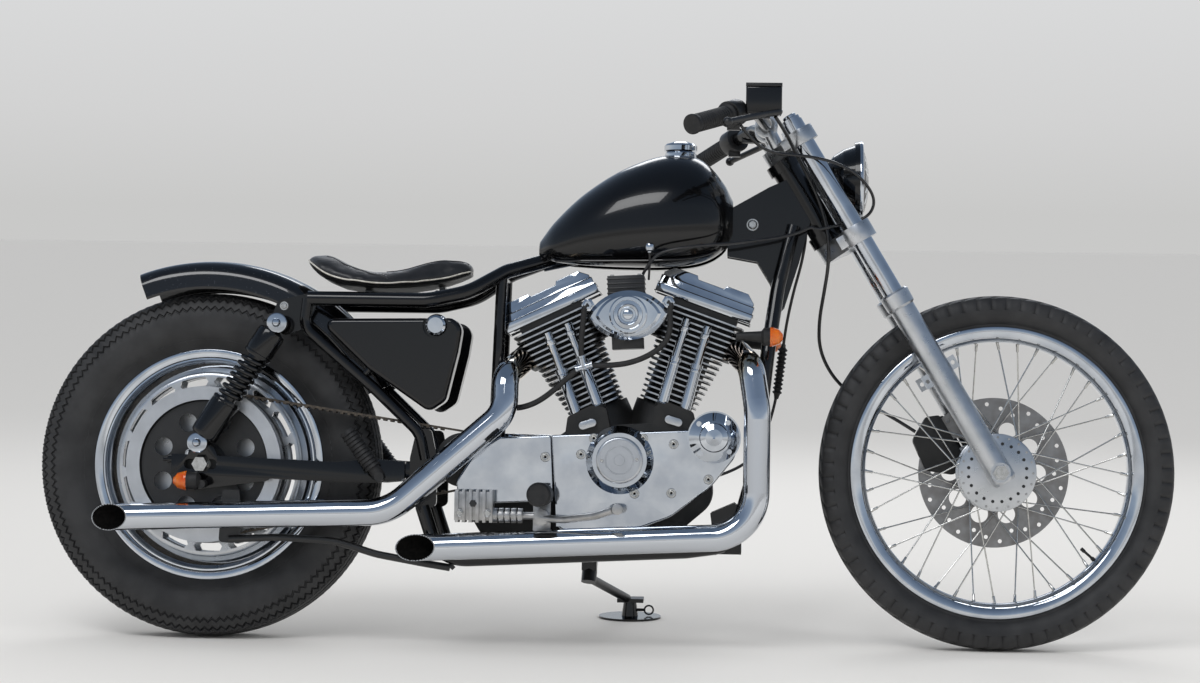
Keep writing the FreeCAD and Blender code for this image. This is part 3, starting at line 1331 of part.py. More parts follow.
def yokes():
    """Both clamps, the stem, the bar risers and the lamp bracket."""
    upper = yoke(UPPER_YOKE_S, UPPER_YOKE_T, 29, 27)
    lower = yoke(LOWER_YOKE_S, LOWER_YOKE_T, 31, 29)
    stem = rod(V(-FORK_OFFSET, 0, LOWER_YOKE_S), V(-FORK_OFFSET, 0, UPPER_YOKE_S + UPPER_YOKE_T / 2 + 8), STEM_R)
    nut = rod(V(-FORK_OFFSET, 0, UPPER_YOKE_S + UPPER_YOKE_T / 2 - 1),
              V(-FORK_OFFSET, 0, UPPER_YOKE_S + UPPER_YOKE_T / 2 + 12), 19)
    bores = []
    for side in SIDES:
        y = side * HALF_SPACING
        bores.append(rod(V(0, y, LOWER_YOKE_S - 60), V(0, y, FORK_TOP), FORK_TUBE_R + SEAT_GAP))
    body = fork_place(fuse(upper, lower, stem, nut).cut(bores))
    risers = []
    for side in SIDES:
        foot = leg_point(UPPER_YOKE_S + 10) + LEG_BACK * (FORK_OFFSET - 4) + V(0, side * 44, 0)
        risers.append(rod(foot, bar_point(0) + V(0, side * 44, 0), 13))
        risers.append(ring(bar_point(0) + V(0, side * 44 - 12, 0), bar_point(0) + V(0, side * 44 + 12, 0), 22, 10))
    grip_bore = rod(bar_point(0) - V(0, 70, 0), bar_point(0) + V(0, 70, 0), BAR_R + SEAT_GAP)
    lamp_seat = block(V(LAMP_X - 22, -16, 784), V(LAMP_X + 6, 16, LAMP_SEAT_Z))
    return fuse(body, risers, lamp_seat).cut(grip_bore)


BAR_R = 12.7
BAR_ROUTE = [(1072, 0, 1004), (1072, 74, 1004), (1050, 168, 1020), (1014, 232, 1008), (938, 352, 972)]
BAR_RADII = [90, 70, 90]
LAMP_X = 1256.0
LAMP_Z = 901.0
LAMP_R = 74.0
LAMP_SEAT_Z = 821.0


def bar_point(i, side=1):
    x, y, z = BAR_ROUTE[i]
    return V(x, side * y, z)


def handlebar_rod(radius):
    """Round bar along the whole handlebar."""
    halves = []
    for side in SIDES:
        halves.append(bent_tube([bar_point(i, side) for i in range(5)], BAR_RADII, radius))
    return fuse(halves)


def handlebar():
    return handlebar_rod(BAR_R)


GRIP_L = 118.0
GRIP_R = 17.5


def grips():
    """Rubber grips with closed ends."""
    made = []
    for side in SIDES:
        end = bar_point(4, side)
        way = V(bar_point(4, side) - bar_point(3, side)).normalize()
        body = rod(end - way * GRIP_L, end + way * 6, GRIP_R)
        flange = rod(end - way * GRIP_L, end - way * (GRIP_L - 6), GRIP_R + 4)
        cap = rod(end + way * 2, end + way * 9, GRIP_R + 1.5)
        bore = rod(end - way * (GRIP_L + 5), end + way * SEAT_GAP, BAR_R + SEAT_GAP)
        made.append(fuse(body, flange, cap).cut(bore))
    return Part.makeCompound(made)


def bar_controls():
    """Switch and throttle housings, and the front brake master cylinder."""
    made = []
    bar = handlebar_rod(BAR_R + SEAT_GAP)
    for side in SIDES:
        end = bar_point(4, side)
        way = V(bar_point(4, side) - bar_point(3, side)).normalize()
        inner = end - way * (GRIP_L + 1)
        middle = inner - way * 19
        housing = [rod(inner - way * 32, inner, 25), block(middle + V(-12, -9, -32), middle + V(12, 9, 4))]
        made.append(fuse(housing).cut(bar))
    tank_low = V(1034, -250, 1024)
    reservoir = block(tank_low, tank_low + V(64, 46, 32))
    upright = [e for e in reservoir.Edges if abs(e.Length - 32) < 1e-6]
    reservoir = reservoir.makeFillet(8, upright)
    lid = block(tank_low + V(-2, -2, 32), tank_low + V(66, 48, 38))
    perch = block(V(1034, -214, 1002), V(1078, -188, 1030))
    base = block(V(1044, -248, 1004), V(1085.7, -204, 1025))
    made.append(fuse(reservoir, lid, perch, base).cut(bar))
    made.append(block(V(1024, 190, 998), V(1077.7, 214, 1030)).cut(bar))
    return Part.makeCompound(made)


def levers():
    """Brake and clutch lever blades."""
    made = []
    for side, root in ((RIGHT, V(1092, -232, 1012)), (LEFT, V(1084, 202, 1010))):
        tip = V(1000, side * 354, 976)
        blade = bent_tube([root, root + V(4, side * 16, -4), V(1068, side * 276, 1000), tip], [8, 60], 6)
        made.append(fuse(blade, Part.makeSphere(9, tip)))
    return Part.makeCompound(made)


def headlamp():
    """Bullet shell with a bright bezel."""
    base = V(LAMP_X - 72, 0, LAMP_Z)
    shell = turned([(0, 0), (0, 16), (6, 34), (20, 52), (38, 64), (60, LAMP_R - 2), (60, LAMP_R + 4),
                    (70, LAMP_R + 6), (76, LAMP_R), (76, LAMP_R - 6), (64, LAMP_R - 7), (60, 50), (50, 0)],
                   base, V(1, 0, 0))
    stud = rod(V(LAMP_X - 8, 0, LAMP_SEAT_Z + SEAT_GAP), V(LAMP_X - 8, 0, LAMP_Z - LAMP_R + 6), 10)
    return fuse(shell, stud)


def headlamp_lens():
    """Domed glass set in the bezel."""
    base = V(LAMP_X - 72 + 64 + SEAT_GAP, 0, LAMP_Z)
    edge = LAMP_R - 7 - SEAT_GAP
    return turned([(0, 0), (0, edge), (12, edge), (20, 52), (25, 26), (27, 0), (22, 0), (20, 26), (15, 50),
                   (8, edge - 4), (4, edge - 4), (4, 0)], base, V(1, 0, 0))


def fork_tubes():
    made = []
    for side in SIDES:
        y = side * HALF_SPACING
        tube = rod(V(0, y, SLIDER_BORE_END + 1), V(0, y, FORK_TOP - 8), FORK_TUBE_R)
        cap = rod(V(0, y, FORK_TOP - 8), V(0, y, FORK_TOP), FORK_TUBE_R - 2)
        made.append(fork_place(fuse(tube, cap)))
    return Part.makeCompound(made)


def slider(side):
    """Cast slider: seal collar, tapered foot round the axle and mudguard lugs."""
    y = side * HALF_SPACING
    foot = V(0, y, 0)
    body = turned([(-22, 0), (-22, SLIDER_R - 4), (-16, SLIDER_R), (SLIDER_TOP - 34, SLIDER_R),
                   (SLIDER_TOP - 30, SLIDER_R + 4), (SLIDER_TOP - 4, SLIDER_R + 5), (SLIDER_TOP, SLIDER_R + 2),
                   (SLIDER_TOP, 0)], foot, Z_AXIS)
    bore = rod(V(0, y, SLIDER_BORE_END), V(0, y, SLIDER_TOP + 1), FORK_TUBE_R + SEAT_GAP)
    inner = side * (HALF_SPACING - SLIDER_R - 2)
    outer = side * (HALF_SPACING + SLIDER_R + 1)
    boss = rod(V(0, inner, 0), V(0, outer, 0), 19)
    axle = rod(V(0, inner - side, 0), V(0, outer + side, 0), AXLE_R + SEAT_GAP)
    parts = [body, boss]
    for way, z in LUGS:
        edge = way * (LUG_HOLE_X + LUG_WALL)
        lug = block(V(min(0, edge), y - 5, z - 13), V(max(0, edge), y + 5, z + 13))
        hole = way * LUG_HOLE_X
        parts.append(lug.cut(rod(V(hole, y - 6, z), V(hole, y + 6, z), LUG_HOLE_R)))
    if side > 0:
        for z in (62, 128):
            parts.append(block(V(-SLIDER_R - 12, y - 16, z - 12), V(0, y - 2, z + 12)))
    return fork_place(fuse(parts).cut([bore, axle]))


def front_axle():
    end = HALF_SPACING + SLIDER_R + 14
    parts = [rod(FRONT_AXLE - V(0, end, 0), FRONT_AXLE + V(0, end, 0), AXLE_R)]
    parts.append(hex_nut(FRONT_AXLE + V(0, -HALF_SPACING - SLIDER_R - 1 - SEAT_GAP, 0), V(0, -1, 0), 15, 10))
    parts.append(hex_nut(FRONT_AXLE + V(0, HALF_SPACING + SLIDER_R + 1 + SEAT_GAP, 0), V(0, 1, 0), 15, 8))
    for side, hub_end in ((RIGHT, FRONT_HUB_FLANGE_Y + 14), (LEFT, FRONT_DISC_Y + DISC_T)):
        start = side * (hub_end + RUN_GAP)
        stop = side * (HALF_SPACING - SLIDER_R - 2 - SEAT_GAP)
        if abs(stop) - abs(start) > 0.5:
            parts.append(ring(FRONT_AXLE + V(0, start, 0), FRONT_AXLE + V(0, stop, 0), 15, AXLE_R - 1))
    return fuse(parts)


def front_caliper():
    """Caliper astride the front disc, bolted behind the left slider."""
    y_disc = FRONT_DISC_Y + DISC_T / 2
    outline = [(-34, 40, 8), (-34, 150, 8), (-58, 160, 10), (-104, 134, 14), (-112, 70, 14), (-70, 36, 12)]
    low = rounded_plate(outline, y_disc - 14, y_disc + 22)
    gap = rod(V(0, y_disc - 8, 0), V(0, y_disc + 8, 0), FRONT_DISC_R + 6)
    pad = rounded_plate([(-38, 44, 4), (-38, 146, 4), (-26, 146, 4), (-26, 44, 4)], HALF_SPACING - 16 + SEAT_GAP,
                        HALF_SPACING - 2)
    body = low.cut(gap)
    slider_room = rod(V(0, HALF_SPACING, -40), V(0, HALF_SPACING, SLIDER_TOP), SLIDER_R + SEAT_GAP)
    lugs = [block(V(-SLIDER_R - 13, HALF_SPACING - 16, z - 12), V(1, HALF_SPACING - 2, z + 12)) for z in (62, 128)]
    return fork_place(fuse(body, pad).cut([slider_room] + lugs))


# Cords that the machine holds along their whole run

THROTTLE_UPPER = [(1023.1, -225, 985.1), (1046, -196, 956), (1086, -150, 940), (1140, -126, 940), (1200, -122, 930),
                  (1250, -104, 906), (1284, -66, 866), (1274, -50, 832), (1236, -52, 818), (1202, -56, 810),
                  (1171, -58, 803)]
THROTTLE_LOWER = [(1162, -59, 810), (1136, -64, 797), (1104, -76, 787), (1060, -96, 779), (1010, -116, 771), (950, -130, 765),
                  (895, -134, 757), (858, -125, 744), (840, -107, 710.7)]
CLUTCH_UPPER = [(1066, 214, 995.4), (1092, 190, 960), (1112, 150, 920), (1136, 104, 876), (1150, 66, 842)]
CLUTCH_LOWER = [(1151.2, 63, 832.6), (1154, 54, 800), (1146, 62, 748), (1130, 92, 690), (1116, 120, 620), (1108, 138, 540),
                (1096, 148, 460), (1072, 150, 390), (1030, 146, 338), (955.6, 138, 318)]
BRAKE_HOSE = [(1088, -204, 1004), (1108, -166, 980), (1126, -110, 950), (1150, -62, 912), (1176, -50, 862),
              (1194, -53.5, 800), (1196, -52, 740), (1188, -22, 684), (1180, 20, 632), (1182, 58, 576),
              (1212, 78, 520), (1262, 84, 480), (1318, 80, 454), (1373, 80.5, 419.8)]


def route(rows):
    return [V(*row) for row in rows]


def bar_cables():
    """Throttle and clutch cables above the steering head, and the brake hose."""
    return Part.makeCompound([cord(route(THROTTLE_UPPER), 3.0), cord(route(CLUTCH_UPPER), 3.0),
                              cord(route(BRAKE_HOSE), 3.5)])


def frame_cables():
    """The same cables below the steering head, along the frame."""
    return Part.makeCompound([cord(route(THROTTLE_LOWER), 3.0), cord(route(CLUTCH_LOWER), 3.0)])


# Side stand, drawn with its foot on level ground

STAND_PIVOT = V(735, 140, 142)
STAND_FOLDED = V(-0.99, 0.09, 0.04)
STAND_BOSS = 10.0
RISER_X = 807.0
RISER_Y = 372.0
RISER_R = 64.0
RISER_T = 4.0
RISER_H = 33.0


def level(shape):
    """Turns a shape drawn on level ground into the machine's upright frame."""
    shape.rotate(ORIGIN, X_AXIS, LEAN)
    return shape


def level_point(x, y, z):
    lean = math.radians(LEAN)
    return V(x, y * math.cos(lean) - z * math.sin(lean), y * math.sin(lean) + z * math.cos(lean))


def stand_foot():
    return level_point(RISER_X - 6, RISER_Y - 14, RISER_H + 8)


def stand_axis():
    """Square to the leg both where it stands and where it lies folded."""
    return (stand_foot() - STAND_PIVOT).cross(STAND_FOLDED).normalize()


def stand_boss():
    """Pivot boss under the left lower rail."""
    way = stand_axis()
    boss = rod(STAND_PIVOT - way * STAND_BOSS, STAND_PIVOT + way * STAND_BOSS, 15)
    arm = block(V(720, 108, 136), V(750, 136, 166))
    bore = rod(STAND_PIVOT - way * 40, STAND_PIVOT + way * 40, 6 + RUN_GAP)
    room = rod(STAND_PIVOT - way * 40, STAND_PIVOT - way * STAND_BOSS, 30)
    roof = rod(STAND_PIVOT + way * STAND_BOSS, STAND_PIVOT + way * 24, 16)
    return fuse(boss, arm).cut([bore, room, roof])


def side_stand():
    way = stand_axis()
    disc = rod(STAND_PIVOT - way * (STAND_BOSS + 21), STAND_PIVOT - way * (STAND_BOSS + RUN_GAP), 15)
    pin = rod(STAND_PIVOT - way * (STAND_BOSS + 4), STAND_PIVOT + way * (STAND_BOSS + 6), 6)
    head = rod(STAND_PIVOT + way * (STAND_BOSS + RUN_GAP), STAND_PIVOT + way * (STAND_BOSS + 6), 11)
    hip = STAND_PIVOT - way * (STAND_BOSS + 12)
    leg = rod(hip, stand_foot(), 9)
    tongue = level(block(V(RISER_X - 26, RISER_Y - 22, RISER_H + SEAT_GAP), V(RISER_X + 28, RISER_Y + 20,
                                                                         RISER_H + 8)))
    return fuse(disc, pin, head, leg, tongue)


def stand_plate():
    """Round stand riser: plate, post and pull-ring pin."""
    plate = rod(V(RISER_X, RISER_Y, 0), V(RISER_X, RISER_Y, RISER_T), RISER_R)
    post = cone(V(RISER_X, RISER_Y, RISER_T), V(RISER_X, RISER_Y, RISER_H), 17, 13)
    pin = rod(V(RISER_X, RISER_Y, 16), V(RISER_X + 32, RISER_Y, 16), 3)
    pull = Part.makeTorus(9, 1.8, V(RISER_X + 39, RISER_Y, 16), Y_AXIS)
    return level(fuse(plate, post, pin, pull))


# Assembly

def together(*shapes):
    """Like pieces that don't touch, kept as one node."""
    return Part.makeCompound(list(shapes))


NODES = {
    "frame": frame,
    "swing_arm": swing_arm,
    "rear_axle": rear_axle,
    "shocks": shocks,
    "rear_fender": rear_fender,
    "seat": seat,
    "oil_tank": oil_tank,
    "side_cover": side_cover,
    "fuel_tank": fuel_tank,
    "filler_caps": lambda: together(oil_cap(), fuel_cap()),
    "crankcase": crankcase,
    "cylinders": lambda: together(cylinder(1), cylinder(-1)),
    "rocker_covers": lambda: together(rocker_cover(1), rocker_cover(-1)),
    "pushrods": pushrods,
    "cam_cover": cam_cover,
    "timer_cover": timer_cover,
    "round_cover": round_cover,
    "sprocket_cover": sprocket_cover,
    "primary_cover": primary_cover,
    "air_cleaner": air_cleaner,
    "carburettor": carburettor,
    "exhaust_front": exhaust_front,
    "exhaust_rear": exhaust_rear,
    "foot_controls": lambda: together(brake_pedal(), shift_pedal()),
    "rider_pegs": rider_pegs,
    "passenger_pegs": passenger_pegs,
    "rear_caliper": rear_caliper,
    "belt_guard": belt_guard,
    "drive_belt": drive_belt,
    "signals": signals,
    "frame_cables": frame_cables,
    "rear_tyre": rear_tyre,
    "rear_wheel": rear_wheel,
    "rear_pulley": rear_pulley,
    "rear_disc": rear_disc,
    "yokes": yokes,
    "fork_tubes": fork_tubes,
    "fork_sliders": lambda: together(slider(RIGHT), slider(LEFT)),
    "front_axle": front_axle,
    "front_caliper": front_caliper,
    "handlebar": handlebar,
    "grips": grips,
    "bar_controls": bar_controls,
    "levers": levers,
    "headlamp": headlamp,
    "headlamp_lens": headlamp_lens,
    "bar_cables": bar_cables,
    "front_tyre": front_tyre,
    "front_wheel": front_wheel,
    "front_disc": front_disc,
    "side_stand": side_stand,
    "stand_plate": stand_plate,
}


def leaned(point):
    """A point of the upright machine, leaned onto the stand."""
    lean = math.radians(LEAN)
    return V(point.x, point.y * math.cos(lean) + point.z * math.sin(lean),
             -point.y * math.sin(lean) + point.z * math.cos(lean))


def build():
    shapes = {}
    for name, make in NODES.items():
        shape = make()
        shape.rotate(ORIGIN, X_AXIS, -LEAN)
        shapes[name] = shape
    return shapes


def bottom_centre(shapes):
    """Middle of the machine's footprint, at ground level."""
    whole = Part.makeCompound(list(shapes.values())).optimalBoundingBox(False, False)
    return V((whole.XMin + whole.XMax) / 2, (whole.YMin + whole.YMax) / 2, whole.ZMin)


def main():
    os.makedirs("parts", exist_ok=True)
    shapes = build()
    origin = bottom_centre(shapes)
    print("origin", origin)
    for name, shape in shapes.items():
        shape.translate(-origin)
        shape.exportStep("parts/" + name + ".step")
    return shapes, origin


SHAPES, ORIGIN_SHIFT = main()
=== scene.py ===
import cmath
import json
import math

import bmesh
import bpy
from mathutils import Matrix, Vector
from mathutils.bvhtree import BVHTree

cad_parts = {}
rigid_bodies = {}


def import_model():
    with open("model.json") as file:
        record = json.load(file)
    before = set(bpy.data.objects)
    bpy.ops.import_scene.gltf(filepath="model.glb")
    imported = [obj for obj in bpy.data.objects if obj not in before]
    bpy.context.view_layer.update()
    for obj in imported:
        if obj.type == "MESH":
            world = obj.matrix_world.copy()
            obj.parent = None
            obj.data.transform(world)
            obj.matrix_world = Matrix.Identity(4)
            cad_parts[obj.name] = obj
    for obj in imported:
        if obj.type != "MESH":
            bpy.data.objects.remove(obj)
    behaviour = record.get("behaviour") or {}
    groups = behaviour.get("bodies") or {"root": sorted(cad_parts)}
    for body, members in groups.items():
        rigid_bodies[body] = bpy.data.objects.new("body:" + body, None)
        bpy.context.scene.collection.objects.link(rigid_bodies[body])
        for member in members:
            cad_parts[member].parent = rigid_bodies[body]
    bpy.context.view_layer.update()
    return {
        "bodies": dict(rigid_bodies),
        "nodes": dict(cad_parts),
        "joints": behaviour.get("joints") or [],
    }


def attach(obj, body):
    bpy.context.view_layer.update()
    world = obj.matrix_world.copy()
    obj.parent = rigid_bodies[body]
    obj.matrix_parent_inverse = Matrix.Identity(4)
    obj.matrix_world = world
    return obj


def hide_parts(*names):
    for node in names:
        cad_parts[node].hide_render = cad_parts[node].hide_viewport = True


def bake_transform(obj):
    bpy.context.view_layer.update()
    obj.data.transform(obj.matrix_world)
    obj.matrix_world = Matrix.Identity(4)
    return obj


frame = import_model()
NODES = frame["nodes"]

# Every size below is in millimetres on the upright machine: X forward from the rear axle, Y to the left,
# Z up from the ground.  STAND leans it onto the side stand and turns millimetres into metres.
MM = 0.001
REAR_TYRE_D = 668.0
FRONT_TYRE_D = 684.0
WHEELBASE = 1524.0
RAKE = math.radians(31.2)
SPIN = next(joint for joint in frame["joints"] if joint["name"] == "rear_wheel_spin")
LEAN = math.atan2(SPIN["axis"][2], SPIN["axis"][1])
REAR_AXLE = Vector((0, 0, REAR_TYRE_D / 2))
FRONT_AXLE = Vector((WHEELBASE, 0, FRONT_TYRE_D / 2))
STAND = (Matrix.Translation(SPIN["pos_m"]) @ Matrix.Rotation(LEAN, 4, "X") @ Matrix.Scale(MM, 4)
         @ Matrix.Translation(-REAR_AXLE))
UPRIGHT = STAND.inverted()
# A wheel is drawn about Z and then turned so that Z points left and X up
WHEELWISE = Matrix(((0, 1, 0, 0), (0, 0, 1, 0), (1, 0, 0, 0), (0, 0, 0, 1)))
ON_REAR_AXLE = Matrix.Translation(REAR_AXLE) @ WHEELWISE
ON_FRONT_AXLE = Matrix.Translation(FRONT_AXLE) @ WHEELWISE
# The cylinders stand this far to each side of an engine that tilts forward about its crank
VEE = math.radians(22.5)
ENGINE_TILT = math.radians(3.0)
CRANK = Vector((828, 0, 296))
SIDES = (-1, 1)
RIGHT = (0, -1, 0)
CIRCLE = 2 * math.pi


def stood(x, y, z):
    """A point of the upright machine, in metres where the leaned machine has it."""
    return STAND @ Vector((x, y, z))


def placed(x, y, z, way=(0, 0, 1)):
    """Place of a piece drawn about its own Z axis: its foot, and where that axis points."""
    return Matrix.Translation((x, y, z)) @ Vector(way).to_track_quat("Z", "Y").to_matrix().to_4x4()


def both_sides(*spots):
    """Places that face outwards on the right and then on the left."""
    return [placed(x, side * y, z, (0, side, 0)) for side in SIDES for x, y, z in spots]


def engine_at(x, y, z, way=0):
    """A point given from the crank: on the tilted engine, or on the axes of its front (1) or rear (-1) cylinder."""
    return CRANK + Matrix.Rotation(way * VEE - ENGINE_TILT, 4, "Y") @ Vector((x, y, z))


def on_engine(x, y, z):
    """Place on the engine's right side that faces outwards."""
    return placed(*engine_at(x, y, z), RIGHT)


def angles(count, shift=0.0):
    return [CIRCLE * (i + shift) / count for i in range(count)]


# Materials: all patterns lie on the object's own coordinates, with grains of a real size in millimetres

MATERIALS = {}


def linear(code):
    """An sRGB hex colour as linear RGBA."""
    parts = [int(code[i:i + 2], 16) / 255 for i in (1, 3, 5)]
    return [c / 12.92 if c <= 0.04045 else ((c + 0.055) / 1.055) ** 2.4 for c in parts] + [1.0]


def node(tree, kind, **settings):
    """Adds a node; a setting is a property, or else an input given a value or another node's output."""
    made = tree.nodes.new("ShaderNode" + kind)
    for name, value in settings.items():
        key = name.replace("_", " ")
        if key not in made.inputs:
            setattr(made, name, value)
        elif isinstance(value, bpy.types.NodeSocket):
            tree.links.new(value, made.inputs[key])
        else:
            made.inputs[key].default_value = value
    return made


def spot(tree):
    return node(tree, "TexCoord").outputs["Object"]


def mapped(tree, value, start, end, low=0.0, high=1.0):
    """A value's range from start to end, stretched to run from low to high."""
    made = node(tree, "MapRange", Value=value, From_Min=start, From_Max=end, To_Min=low, To_Max=high)
    return made.outputs["Result"]


def speckle(tree, size, low=0.0, high=1.0, start=0.35, end=0.65, detail=3.0):
    """Noise with grains of a size, as values between two numbers."""
    noise = node(tree, "TexNoise", Vector=spot(tree), Scale=1.0 / (size * MM), Detail=detail)
    return mapped(tree, noise.outputs["Fac"], start, end, low, high)


def combined(tree, operation, a, b):
    made = node(tree, "Math", operation=operation)
    tree.links.new(a, made.inputs[0])
    tree.links.new(b, made.inputs[1])
    return made.outputs["Value"]


def ramp(tree, factor, first, *inner, last):
    """Colours at stops, each a position and an sRGB colour."""
    made = node(tree, "ValToRGB", Fac=factor)
    for element, (at, code) in zip(list(made.color_ramp.elements), (first, last)):
        element.position = at
        element.color = linear(code)
    for at, code in inner:
        made.color_ramp.elements.new(at).color = linear(code)
    return made.outputs["Color"]


def bumped(tree, shader, height, distance, strength):
    bump = node(tree, "Bump", Height=height, Strength=strength, Distance=distance * MM)
    tree.links.new(bump.outputs["Normal"], shader.inputs["Normal"])


def two_tone(tree, shader, factor, dark, light):
    mix = node(tree, "Mix", data_type="RGBA", Factor=factor, A=linear(dark), B=linear(light))
    tree.links.new(mix.outputs["Result"], shader.inputs["Base Color"])


def surface(name, slot, base, rough, tones=None, grain=None, metal=0.0, **settings):
    """Adds a finish with its base colour; the slot is not used.  Rough is a number, or patches as (size, low, high);
    tones are patches as (size, dark, light); grain bumps the surface and is (size, height, strength)."""
    made = bpy.data.materials.new(name)
    made.use_nodes = True
    made.diffuse_color = linear(base)
    tree = made.node_tree
    tree.nodes.clear()
    shader = node(tree, "BsdfPrincipled", Base_Color=linear(base), Metallic=metal, **settings)
    node(tree, "OutputMaterial", Surface=shader.outputs["BSDF"])
    if isinstance(rough, tuple):
        tree.links.new(speckle(tree, *rough), shader.inputs["Roughness"])
    else:
        shader.inputs["Roughness"].default_value = rough
    if tones:
        size, dark, light, *reach = tones
        two_tone(tree, shader, speckle(tree, size, 0, 1, *reach), dark, light)
    if grain:
        size, height, strength, *reach = grain
        bumped(tree, shader, speckle(tree, size, 0, 1, *reach), height, strength)
    MATERIALS[name] = made
    return tree, shader


# Baked enamel: deep gloss under a clear coat, with a faint orange peel and a little dust
surface("black_enamel", "black_enamel", "#050506", 0.22, (3.0, "#050506", "#121215", 0.66, 0.9), (2.4, 0.02, 0.2),
        Specular_IOR_Level=0.2, Coat_Weight=0.6, Coat_Roughness=0.03)
# Powder coat: even satin black with a fine grain
surface("black_satin", "black_steel", "#0d0d0e", 0.42, (30, "#0a0a0b", "#141415"), (0.9, 0.05, 0.5),
        Coat_Weight=0.25, Coat_Roughness=0.3)
# Wrinkle paint on cast aluminium: matt, with grains of about half a millimetre drawn at one
surface("black_wrinkle", "black_wrinkle", "#0c0c0d", 0.55, (22, "#090909", "#161514"), (1.0, 0.12, 0.8))
# Chrome plating over polished metal: a hard mirror, slightly wavy as polishing leaves it, with faint haze
surface("chrome_plate", "chrome", "#c5cad0", (26, 0.03, 0.08), (60, "#b9bfc7", "#cfd3d8"),
        (55, 0.9, 0.5, 0.2, 0.8, 0.0), metal=1.0)
# Buffed cast aluminium: bright satin with a soft haze
surface("satin_aluminium", "satin_aluminium", "#c3c5c8", (20, 0.27, 0.35), (40, "#bcbfc2", "#cbcdd0"),
        (0.9, 0.01, 0.2), metal=1.0)
# Sand-cast aluminium: grey, grainy and slightly stained
surface("cast_aluminium", "cast_aluminium", "#aeaeac", 0.42, (16, "#a2a19f", "#bab9b8"), (1.1, 0.04, 0.4), metal=1.0)
# Zinc-plated fastener steel: dull silver with a warm cast
surface("zinc_steel", "zinc_steel", "#c2c1bd", 0.24, (9, "#b6b5b1", "#cccbc8"), metal=1.0)
# Stainless brake disc: ground grey, a little browned by heat
surface("disc_steel", "disc_steel", "#8f8e8d", (6, 0.28, 0.36), (22, "#888583", "#989796"), metal=1.0)
# Tyre rubber: charcoal, matt, greyer where dust lies
surface("tyre_rubber", "tyre_rubber", "#202021", 0.58, (45, "#1c1c1d", "#2a2a2b"), (1.2, 0.05, 0.5))
# Moulded rubber: soft black with a low sheen
surface("moulded_rubber", "black_rubber", "#111112", 0.6, (15, "#0e0e0f", "#1d1c1c"), (0.8, 0.05, 0.5))
# Toothed drive belt: brown-black rubber, dusted
surface("belt_rubber", "belt_rubber", "#3b342c", 0.7, (6, "#2d2823", "#4d453b"))
# Extruded vinyl cable cover: smooth black with a soft shine
surface("cable_skin", "black_cable", "#0e0e10", 0.35, (10, "#0b0b0c", "#18181a"), Coat_Weight=0.3)
# Amber acrylic: glossy, partly clear
surface("amber_lens", "amber_lens", "#ff6a06", 0.12, (18, "#f25c04", "#ff8a1e"), Transmission_Weight=0.45,
        IOR=1.49, Coat_Weight=0.4)
# Pressed lamp glass: clear, with a slight ripple
surface("lamp_glass", "lamp_glass", "#f3f6f8", 0.03, None, (9, 0.1, 0.3), Transmission_Weight=1.0, IOR=1.5)
# Machined rims of the cooling fins: fresh-cut aluminium, evenly bright
surface("fin_edge", "satin_aluminium", "#b9bbbd", 0.3, (9, "#aeb0b3", "#c6c8ca"), metal=1.0)
# Spun aluminium face: an even fine brushing that softens what it mirrors
surface("brushed_aluminium", "satin_aluminium", "#c3c5c8", (3.0, 0.28, 0.36), (30, "#bfc1c4", "#c8cacd"), metal=1.0)
# Silvered reflector: a clean mirror
surface("mirror_silver", "chrome", "#eceef0", (20, 0.03, 0.08), metal=1.0)
# Pale vinyl piping: smooth, a little soiled
surface("white_cord", "black_leather", "#b9b7b1", 0.45, (7, "#a9a69e", "#c9c7c1"))
# Dead black: dry soot with painted shade inside the pipes' mouths, and painted shade on the floors of the cover bolts'
# sockets
surface("soot_and_painted_shade", "black_steel", "#050505", 0.95, (5, "#030303", "#0c0b0a"), Specular_IOR_Level=0.1)
# Waxed grey sewing thread
surface("thread", "black_leather", "#8d8e92", 0.6, (2, "#77787c", "#a3a4a8"))


def add_pipe_chrome():
    """Chromed exhaust: mirror bright, browned by heat over the first few centimetres from each port."""
    tree, shader = surface("pipe_chrome", "chrome_pipe", "#cbcfd5", (26, 0.03, 0.08), metal=1.0)
    gaps = []
    for port in ((1000, -110, 560), (655, -110, 560)):
        gap = node(tree, "VectorMath", operation="DISTANCE")
        tree.links.new(spot(tree), gap.inputs[0])
        gap.inputs[1].default_value = stood(*port)
        gaps.append(gap.outputs["Value"])
    reach = mapped(tree, combined(tree, "MINIMUM", *gaps), 0.0, 0.09)
    tint = ramp(tree, reach, (0.0, "#3b302b"), (0.45, "#6f5d4e"), (0.62, "#a79782"), (0.80, "#cdc4b2"),
                last=(1.0, "#cbcfd5"))
    tree.links.new(tint, shader.inputs["Base Color"])


def add_saddle_leather():
    """Black saddle leather: pebbled grain about two millimetres across under a waxed surface."""
    tree, shader = surface("saddle_leather", "black_leather", "#0d0d0f", (14, 0.30, 0.46),
                           (25, "#0b0b0d", "#17171a"), Sheen_Weight=0.15)
    grain = node(tree, "TexVoronoi", Vector=spot(tree), Scale=1 / (1.6 * MM), feature="DISTANCE_TO_EDGE")
    bumped(tree, shader, grain.outputs["Distance"], 0.25, 0.35)


def add_flake_enamel():
    """Black enamel with fine silver flake, drawn a millimetre and a half across so that it shows."""
    tree, shader = surface("flake_enamel", "black_enamel", "#060607", 0.24, None, (2.4, 0.02, 0.25),
                           Specular_IOR_Level=0.2, Coat_Weight=1.0, Coat_Roughness=0.04)
    cells = node(tree, "TexVoronoi", Vector=spot(tree), Scale=1 / (3.0 * MM)).outputs
    dot = mapped(tree, cells["Distance"], 0.10, 0.16, 1.0, 0.0)
    some = mapped(tree, node(tree, "SeparateColor", Color=cells["Color"]).outputs["Red"], 0.80, 0.84)
    two_tone(tree, shader, combined(tree, "MULTIPLY", dot, some), "#070709", "#7d828a")


